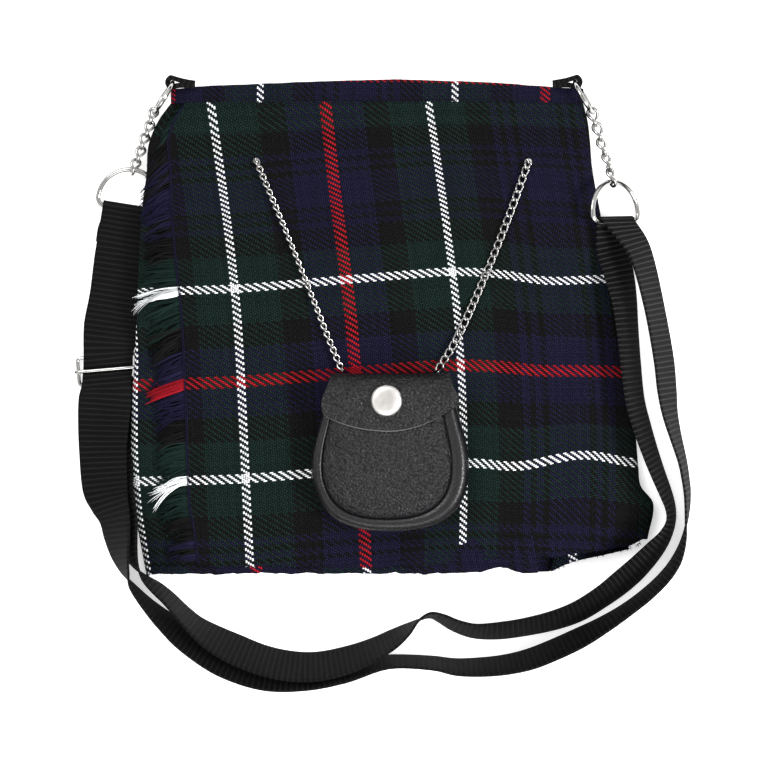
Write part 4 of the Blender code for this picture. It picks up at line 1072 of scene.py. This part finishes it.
def corner_ring_frame(hand):
    upper, lower = (Vector(chosen(place)) for place in CORNER_RINGS[hand])
    chord = (lower - upper).normalized()
    outward = Vector((-chord.y, chord.x, 0.0)).normalized()
    if outward.x * upper.x < 0:
        outward = -outward
    rise = (Vector((0, 0, 1)) - outward * math.tan(math.radians(CORNER_RING_TILT))).normalized()
    rise = (rise - chord * rise.dot(chord)).normalized()
    return upper, lower, chord, rise


def make_corner_ring(name, hand, material):
    upper, lower, chord, rise = corner_ring_frame(hand)
    line = [(upper + lower) / 2 + (chord * c + rise * s) * CORNER_RING / 2 for c, s in circle(56)]
    return Shape().add_tube(line, CORNER_RING_WIRE / 2, 16, closed=True).make(name, material)


def make_tab(name, hand, material):
    """A webbing loop about a corner ring, its two legs on the waistband's top edge."""
    centre, _, _, rise = corner_ring_frame(hand)
    way = WAY[hand]
    turn = CORNER_RING_WIRE / 2 + FIT + TAB_THICK / 2
    seam = TAB_THICK / 2 + 0.1
    inner = [(1.0, seam + 0.3), (0.6, seam + 0.2), (0.28, seam + 0.2)]
    outer = [(0.28, seam), (0.6, seam - 0.9), (1.0, seam - 1.7)]
    path = [(-TAB_LENGTH * back, -out) for back, out in inner] \
        + [(turn * c, turn * s) for c, s in turning(-60, 75, 10)] \
        + [(-TAB_LENGTH * back, out) for back, out in outer]
    path = finer([centre + Vector((way * x, y, 0.0)) for x, y in path], 4)
    rows = [[(point + rise * TAB_WIDTH * (share - 0.5), (TAB_WIDTH * share, along))
             for point, along in zip(path, lengths(path))] for share in [k / 8 for k in range(9)]]
    return make_sheet(name, material, rows, TAB_THICK, 0.5)


def slide_frame():
    heading = math.radians(SLIDE["heading"])
    bar = Vector((math.cos(heading), math.sin(heading), 0.0))
    return bar, Vector((-bar.y, bar.x, 0.0))


def level_across(x, y, tangent):
    """The level direction across the strap, towards the bag. In the slide it follows the bars."""
    if (Vector((x, y)) - Vector(chosen(SLIDE["middle"])[:2])).length < SLIDE_HEIGHT:
        return slide_frame()[0]
    return Vector((-tangent.y, tangent.x, 0.0)).normalized()


def webbing_share(point):
    """The webbing is squeezed a little narrower where it runs through the rings and the slide."""
    share = 1.0
    for place, narrow, reach in ((STRAP_RINGS["left"], 0.92, 14.0), (STRAP_RINGS["right"], 0.80, 34.0),
                                 (SLIDE, 0.91, 20.0)):
        away = (Vector(point[:2]) - Vector(chosen(place["middle"])[:2])).length / reach
        share = min(share, mix(narrow, 1.0, clamp((away - 0.4) / 0.6, 0.0, 1.0)))
    return share


def strap_stations(rows, way):
    """Middle points and half-width vectors along one run of the strap."""
    rows = [chosen(row) for row in rows]
    stations = []
    for i, (x, y, lean, *lift) in enumerate(rows):
        before, after = rows[max(i - 1, 0)], rows[min(i + 1, len(rows) - 1)]
        tangent = Vector((after[0] - before[0], after[1] - before[1], 0.0))
        inner = level_across(x, y, tangent * way)
        a = math.radians(lean)
        half = WEBBING_WIDTH / 2 * webbing_share((x, y))
        height = half * math.sin(a) + WEBBING / 2 * abs(math.cos(a)) + sum(lift)
        across = (inner * math.cos(a) + Vector((0, 0, math.sin(a)))) * half
        stations.append((Vector((x, y, height)), across))
    return stations


def loop_stations(middle, bar, start, sweep, wire):
    """The webbing's turn about a bar of this wire. start is the direction from it to the first point."""
    half = bar * WEBBING_WIDTH / 2 * webbing_share(middle)
    radius = wire / 2 + FIT + WEBBING / 2
    turns = (Matrix.Rotation(math.radians(sweep) * i / 6, 3, bar) for i in range(7))
    return [(middle + turn @ start.normalized() * radius, half) for turn in turns]


def strap_line():
    """All stations of the strap from its sewn tail at the left ring to its tail at the slide."""
    left_bar, left_arch, _ = bar_frame(STRAP_RINGS["left"])
    right_bar, right_arch, right_face = bar_frame(STRAP_RINGS["right"])
    left, right, slide = (Vector(chosen(place["middle"])) for place in (*STRAP_RINGS.values(), SLIDE))
    below = Vector((0, 0, -1))
    stations = []
    for back, share in ((1.0, 1.0), (0.6, 1.0), (0.3, webbing_share(left))):
        point = left - left_arch * STRAP_TAIL * back
        point.z = WEBBING / 2 + 0.1
        stations.append((point, left_bar * WEBBING_WIDTH / 2 * share))
    stations += loop_stations(left, left_bar, below, 180, STRAP_RING_WIRE)
    stations += strap_stations(STRAP_OUT, 1)
    up = right_face if right_face.z > 0 else -right_face
    width = -right_bar if right_bar.x > 0 else right_bar
    sweep = 180 if width.cross(up).dot(right_arch) > 0 else -180
    stations += loop_stations(right, width, up, sweep, STRAP_RING_WIRE)
    stations += strap_stations(STRAP_BACK, -1)
    slide_bar, slide_up = slide_frame()
    low_bar = slide - slide_up * (SLIDE_HEIGHT / 2)
    stations += loop_stations(low_bar, slide_bar, below, 180, SLIDE_WIRE)
    for back in (0.4, 0.75):
        point = low_bar - slide_up * STRAP_TAIL * back
        stations.append((Vector((point.x, point.y, 2.4)), slide_bar * WEBBING_WIDTH / 2))
    return stations


def make_strap(material):
    middles, halves = (finer(column, 6) for column in zip(*strap_line()))
    along = lengths(middles)
    rows = [[(middle + half * (2 * share - 1), (WEBBING_WIDTH * share, arc))
             for middle, half, arc in zip(middles, halves, along)] for share in [k / 12 for k in range(13)]]
    obj = make_sheet("strap_webbing", material, rows, WEBBING, 0.35)
    return obj


def make_slide(material):
    """A wire frame with a raised middle bar, which the webbing runs through."""
    bar, up = slide_frame()
    middle = Vector(chosen(SLIDE["middle"]))
    half, tall, corner = SLIDE_WIDTH / 2, SLIDE_HEIGHT / 2, 2.0
    line = []
    for x, y, first in ((1, 1, 0), (-1, 1, 90), (-1, -1, 180), (1, -1, 270)):
        centre = middle + bar * x * (half - corner) + up * y * (tall - corner)
        line += [centre + (bar * c + up * s) * corner for c, s in turning(first, first + 90, 7)]
    shape = Shape().add_tube(line, SLIDE_WIRE / 2, 14, closed=True)
    rise = Vector((0, 0, SLIDE_BAR_RISE))
    bridge = [middle + bar * along + rise * share
              for along, share in ((-half, 0.0), (0.1 - half, 0.5), (1.1 - half, 1.0), (half - 1.1, 1.0),
                                (half - 0.1, 0.5), (half, 0.0))]
    return shape.add_tube(finer(bridge, 4), SLIDE_WIRE / 2, 14).make("strap_slide", material)


def add_link(shape, centre, heading, roll, twist, length, width, wire, corners, sides):
    """One curb link: an oval whose two ends are twisted opposite ways about the chain's line."""
    level = Vector((heading.y, -heading.x, 0.0)).normalized()
    up = level.cross(heading)
    points = []
    for cosine, sine in circle(corners):
        along = math.copysign(abs(cosine) ** 0.8, cosine)
        turn = math.radians(roll + twist * math.copysign(abs(along) ** 0.6, along))
        across = level * math.cos(turn) + up * math.sin(turn)
        points.append(centre + heading * length / 2 * along + across * width / 2 * sine)
    shape.add_tube(finer(points, 2, closed=True), wire / 2, sides, closed=True)


def make_side_chain(name, hand, material):
    """Curb links from the inside of a corner ring's lowest bow to inside a strap ring's arch."""
    rolls = SIDE_ROLLS[hand]
    hook = LINK_WIRE / 2 + FIT * 1.5
    _, lower, _, _ = corner_ring_frame(hand)
    crown = Vector(chosen(STRAP_RINGS[hand]["middle"])) + bar_frame(STRAP_RINGS[hand])[1] * STRAP_RING_DEPTH
    heading = (crown - lower).normalized()
    start = lower - heading * (CORNER_RING_WIRE / 2 + hook)
    end = crown + heading * (STRAP_RING_WIRE / 2 + hook)
    level = Vector((heading.y, -heading.x, 0.0)).normalized()
    pitch = ((end - start).length - LINK_BITE) / SIDE_LINKS
    length = pitch + LINK_BITE
    twist = LINK_TWIST + (rolls[1] - rolls[0]) / (SIDE_LINKS - 1) / 2
    shape = Shape()
    for i in range(SIDE_LINKS):
        centre = start + heading * (length / 2 + pitch * i) + level * LINK_SWAY * (-1) ** i
        roll = mix(rolls[0], rolls[1], i / (SIDE_LINKS - 1))
        add_link(shape, centre, heading, roll, twist, length, LINK_WIDTH - LINK_WIRE, LINK_WIRE * 1.08,
                 20, 12)
    return shape.make(name, material)


def make_fine_chain(name, hand, material):
    """A fine curb chain from its eyelet in the apron to the back of the purse."""
    line = []
    for point in finer([(*chosen(place), 0.0) for place in PURSE_CHAINS[hand]], 6):
        point.z = top_surface(point.x, down_at(point.y)) + PURSE_CHAIN * 0.36
        line.append(point)
    first, first_way = line[0], (line[1] - line[0]).normalized()
    line[:1] = [first - first_way * 0.6 - Vector((0, 0, 5.0)), first - Vector((0, 0, 0.6))]
    along = lengths(line)
    pitch = along[-1] / (FINE_LINKS - 0.4)
    length = pitch + FINE_LINK_WIRE * 1.05
    roll, bend = FINE_ROLLS[hand]
    shape = Shape()
    for i in range(FINE_LINKS):
        at = pitch * (i + 0.3)
        k = clamp(sum(arc <= at for arc in along) - 1, 0, len(line) - 2)
        heading = (line[k + 1] - line[k]).normalized()
        turned = roll + bend * math.sin(math.pi * i / (FINE_LINKS - 1)) ** 1.5
        add_link(shape, line[k] + heading * (at - along[k]), heading, turned, FINE_TWIST, length,
                 FINE_LINK_WIDTH - FINE_LINK_WIRE, FINE_LINK_WIRE, 14, 8)
    return shape.make(name, material)


@functools.cache
def purse_base():
    """The plane that the purse's flat back lies in: its height at the mouth, and its slope."""
    bottom = PURSE_TOP - PURSE_HEIGHT
    high = top_surface(PURSE_X, down_at(PURSE_TOP))
    slope = (high - top_surface(PURSE_X, down_at(bottom + PURSE_HANG))) / (PURSE_HEIGHT - PURSE_HANG)
    places = [mix(PURSE_TOP, bottom, i / 11) for i in range(12)]
    lift = max(top_surface(PURSE_X, down_at(y)) - (high - slope * (PURSE_TOP - y)) for y in places)
    return high + max(lift, 0.0) + FIT, slope


def purse_point(out, down, up):
    """A point of the purse from its own sizes: across, down from the mouth, up from its back."""
    base, slope = purse_base()
    return Vector((PURSE_X + out, PURSE_TOP - down, base - slope * down + up))


def purse_outline():
    """The outline from the mouth's left corner round to its right one, as (out, down) shares."""
    right = [(row["out"], row["down"], 0.0) for row in PURSE_OUTLINE]
    left = [(-out, down, 0.0) for out, down, _ in right]
    return [(point.x, point.y) for point in finer(left + right[-2::-1], 8)]


def declare_leather(obj):
    """Hands back a cut piece of the purse's leather as it is."""
    return obj


def make_purse_body(material):
    """The back and the gusset of the purse, open at the mouth and in front, with a rolled rim."""
    rows = []
    back = [Vector((0.0, share, 0.0)) for share in (0.02, 0.35, 0.7, 0.9)]
    for up, share, shift in back + finer(PURSE_WALL, 5):
        row = []
        for out, down in purse_outline():
            x = out * PURSE_WIDTH / 2 * share
            y = (0.5 + (down - 0.5) * (share if down > 0.5 else 1.0)) * PURSE_HEIGHT
            dent = 0.5 * noise.noise(Vector((x / 16, y / 16, up * 2))) * min(up, 1.0 - abs(up - 0.6))
            row.append((purse_point(x + dent * out + shift * PANEL_X, y, up * PURSE_DEPTH), (out, down)))
        rows.append(row)
    obj = make_sheet("purse_body", material, rows, PURSE_LEATHER, 0.4, offset=-1.0)
    return declare_leather(obj)


def make_purse_panel(material):
    """The front panel, a little domed, inside the gusset's rolled edge."""
    centre = mix(PANEL_TOP, 1.0, 0.45)
    rows = []
    for share, dome, _ in finer([(0.001, 1.7, 0), (0.30, 1.65, 0), (0.62, 1.4, 0), (0.86, 0.8, 0),
                                 (0.95, 0.2, 0), (0.99, -0.6, 0), (1.0, -1.6, 0)], 5):
        inset = PANEL_SHARE * share
        row = []
        for out, down in purse_outline():
            x = out * PURSE_WIDTH / 2 * inset
            drawn = inset if down > centre else share
            y = (centre + (max(down, PANEL_TOP) - centre) * drawn) * PURSE_HEIGHT
            swell = 0.35 * noise.noise(Vector((x / 14, y / 14, SEED))) * (1 - share ** 4)
            row.append((purse_point(x + PANEL_X, y, 0.97 * PURSE_DEPTH + dome + swell), (out, down)))
        rows.append(row)
    obj = make_sheet("purse_front", material, rows, PURSE_LEATHER, 0.3, offset=-1.0, closed=True)
    return declare_leather(obj)


def make_purse_flap(material, cut_edge_and_highlight_material):
    """The flap: on the back, over the mouth and down the front, with a bowed lower edge."""
    columns = []
    for across in [mix(-1.0, 1.0, j / 60) for j in range(61)]:
        column = []
        for row in FLAP_ROWS:
            bow = max(0.0, row["down"] / FLAP_ROWS[-1]["down"]) ** 2
            deep = max(0.0, 1 - abs(across + FLAP_SKEW) ** 2.2)
            drop = mix(row["down"], 1.0, bow * deep) if row["up"] > 1.0 else row["down"]
            drop = drop * FLAP_DROP - FLAP_TILT * bow * (across + 0.45) * abs(across)
            column.append(purse_point(across * row["out"] * PURSE_WIDTH / 2, drop, row["up"] * PURSE_DEPTH))
        columns.append(finer(column, 8))
    rows = [[(point, (point.x, point.y)) for point in row] for row in zip(*columns)]
    obj = make_sheet("purse_flap", material, rows, FLAP_LEATHER, 0.35)
    # The last rows of faces along the flap's lower edge take the cut edge's colour, with its painted
    # highlight.
    obj.data.materials.append(cut_edge_and_highlight_material)
    for face in obj.data.polygons[-EDGE_ROWS * (len(columns) - 1):]:
        face.material_index = 1
    return declare_leather(obj)


def make_snap(material):
    """A turned cap, a little domed, on the front of the flap."""
    shares = [(0.0, 1.0), (0.35, 0.985), (0.68, 0.89), (0.88, 0.70), (0.975, 0.42), (1.0, 0.2), (0.97, 0.0)]
    profile = finer([(out * SNAP_DIAMETER / 2, up * SNAP_HEIGHT, 0.0) for out, up in shares], 5)
    centre = purse_point(SNAP_X, SNAP_DOWN, FLAP_ROWS[-1]["up"] * PURSE_DEPTH + FLAP_LEATHER / 2 + FIT)
    turn = Matrix.Rotation(math.atan(purse_base()[1]), 3, "X")
    rows = [[(centre + turn @ Vector((out * c, out * s, up)), (0.0, 0.0)) for c, s in circle(72)]
            for out, up, _ in profile]
    return Shape().add_grid(rows, closed=True).make("snap", material)


def add_light(name, place, size, power):
    data = bpy.data.lights.new(name, "AREA")
    data.shape = "DISK"
    data.size = size
    data.energy = power
    lamp = add_object(name, data)
    lamp.location = place
    lamp.rotation_euler = (-Vector(place)).to_track_quat("-Z", "Y").to_euler()


def make_stage():
    mesh = bpy.data.meshes.new("studio_floor")
    mesh.from_pydata([(x, y, -0.0002) for x, y in ((-3, -3), (3, -3), (3, 3), (-3, 3))], [], [(0, 1, 2, 3)])
    mesh.materials.append(make_floor())
    add_object("studio_floor", mesh)
    add_light("key", (-0.7, 0.9, 1.5), 0.9, 14.0)
    add_light("fill", (1.1, -0.35, 1.1), 0.5, 20.0)
    add_light("front", (0.1, -1.2, 1.2), 0.9, 8.0)
    world = bpy.data.worlds.new("studio")
    world.use_nodes = True
    tree = world.node_tree
    split = tree.nodes.new("ShaderNodeSeparateXYZ")
    tree.links.new(tree.nodes.new("ShaderNodeTexCoord").outputs["Generated"], split.inputs[0])
    sky = add_ramp(tree, [(height, (tone,) * 3) for height, tone in SKY], "LINEAR")
    tree.links.new(split.outputs["Z"], sky.inputs[0])
    background = tree.nodes["Background"]
    tree.links.new(sky.outputs[0], background.inputs["Color"])
    background.inputs["Strength"].default_value = SKY_STRENGTH
    bpy.context.scene.world = world


def make_camera():
    data = bpy.data.cameras.new("camera")
    data.sensor_width = SENSOR
    data.lens = SENSOR * CAMERA_HEIGHT / VIEW_WIDTH
    camera = add_object("camera", data)
    camera.location = Vector((CAMERA_X, 0.0, CAMERA_HEIGHT)) * MM
    bpy.context.scene.camera = camera
    bpy.context.scene.view_settings.view_transform = "Standard"


def both(make, name, material, slot, node):
    """The left and the right one of a pair, each with its slot and the CAD node that it stands for."""
    return [(make(f"{name}_{hand}", hand, material), slot, f"{node}_{hand}") for hand in WAY]


def build(frame):
    tartan, thread, webbing = make_tartan(), make_thread(), make_webbing()
    grained = make_leather("leather_grained", 1.25, 0.38, 0.30, 0.34)
    smooth = make_leather("leather_smooth", 0.8, 0.05, 0.26, 0.56)
    nickel = make_metal("nickel", (0.40, 0.395, 0.385), 0.11, 6.0, 0.02)
    pewter = make_metal("snap_metal", (0.70, 0.675, 0.65), 0.36, 3.0, 0.05)
    pieces = [
        (make_apron(tartan), "tartan", "apron"),
        (make_under_apron(tartan), "tartan", "under_apron"),
        (make_pleats(tartan), "tartan", "pleats"),
        (make_waistband(tartan), "tartan", "waistband"),
        (make_fringe(thread), "tartan", "fringe"),
        (make_edge_threads(thread), "tartan"),
        (make_frays(thread), "tartan"),
        (make_band_seam(thread), "tartan"),
        (make_pouch(frame, make_lining()), "pouch_cloth", "pouch"),
        *both(make_tab, "band_tab", webbing, "webbing", "tab"),
        (make_strap(webbing), "webbing", "strap"),
        *both(make_corner_ring, "ring_corner", nickel, "nickel", "corner_ring"),
        *both(make_strap_ring, "ring_strap", nickel, "nickel", "strap_ring"),
        *both(make_side_chain, "links", nickel, "nickel", "chain"),
        (make_slide(nickel), "nickel", "slide"),
        *both(make_fine_chain, "fine_links", nickel, "nickel", "sporran_chain"),
        (make_purse_body(smooth), "leather", "sporran_body"),
        (make_purse_panel(grained), "leather", "sporran_panel"),
        (make_purse_flap(grained, make_cut_edge_and_highlight()), "leather", "sporran_flap"),
        (make_snap(pewter), "nickel", "snap_cap"),
    ]
    for obj, slot, *nodes in pieces:
        if nodes:
            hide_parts(*nodes)


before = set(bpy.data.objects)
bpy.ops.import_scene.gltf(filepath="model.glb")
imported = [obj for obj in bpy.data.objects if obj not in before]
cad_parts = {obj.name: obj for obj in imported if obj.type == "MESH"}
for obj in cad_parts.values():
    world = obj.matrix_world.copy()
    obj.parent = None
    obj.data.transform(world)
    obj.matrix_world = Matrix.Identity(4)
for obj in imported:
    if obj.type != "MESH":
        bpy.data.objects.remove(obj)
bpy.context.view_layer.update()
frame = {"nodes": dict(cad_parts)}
build(frame)
make_stage()
make_camera()
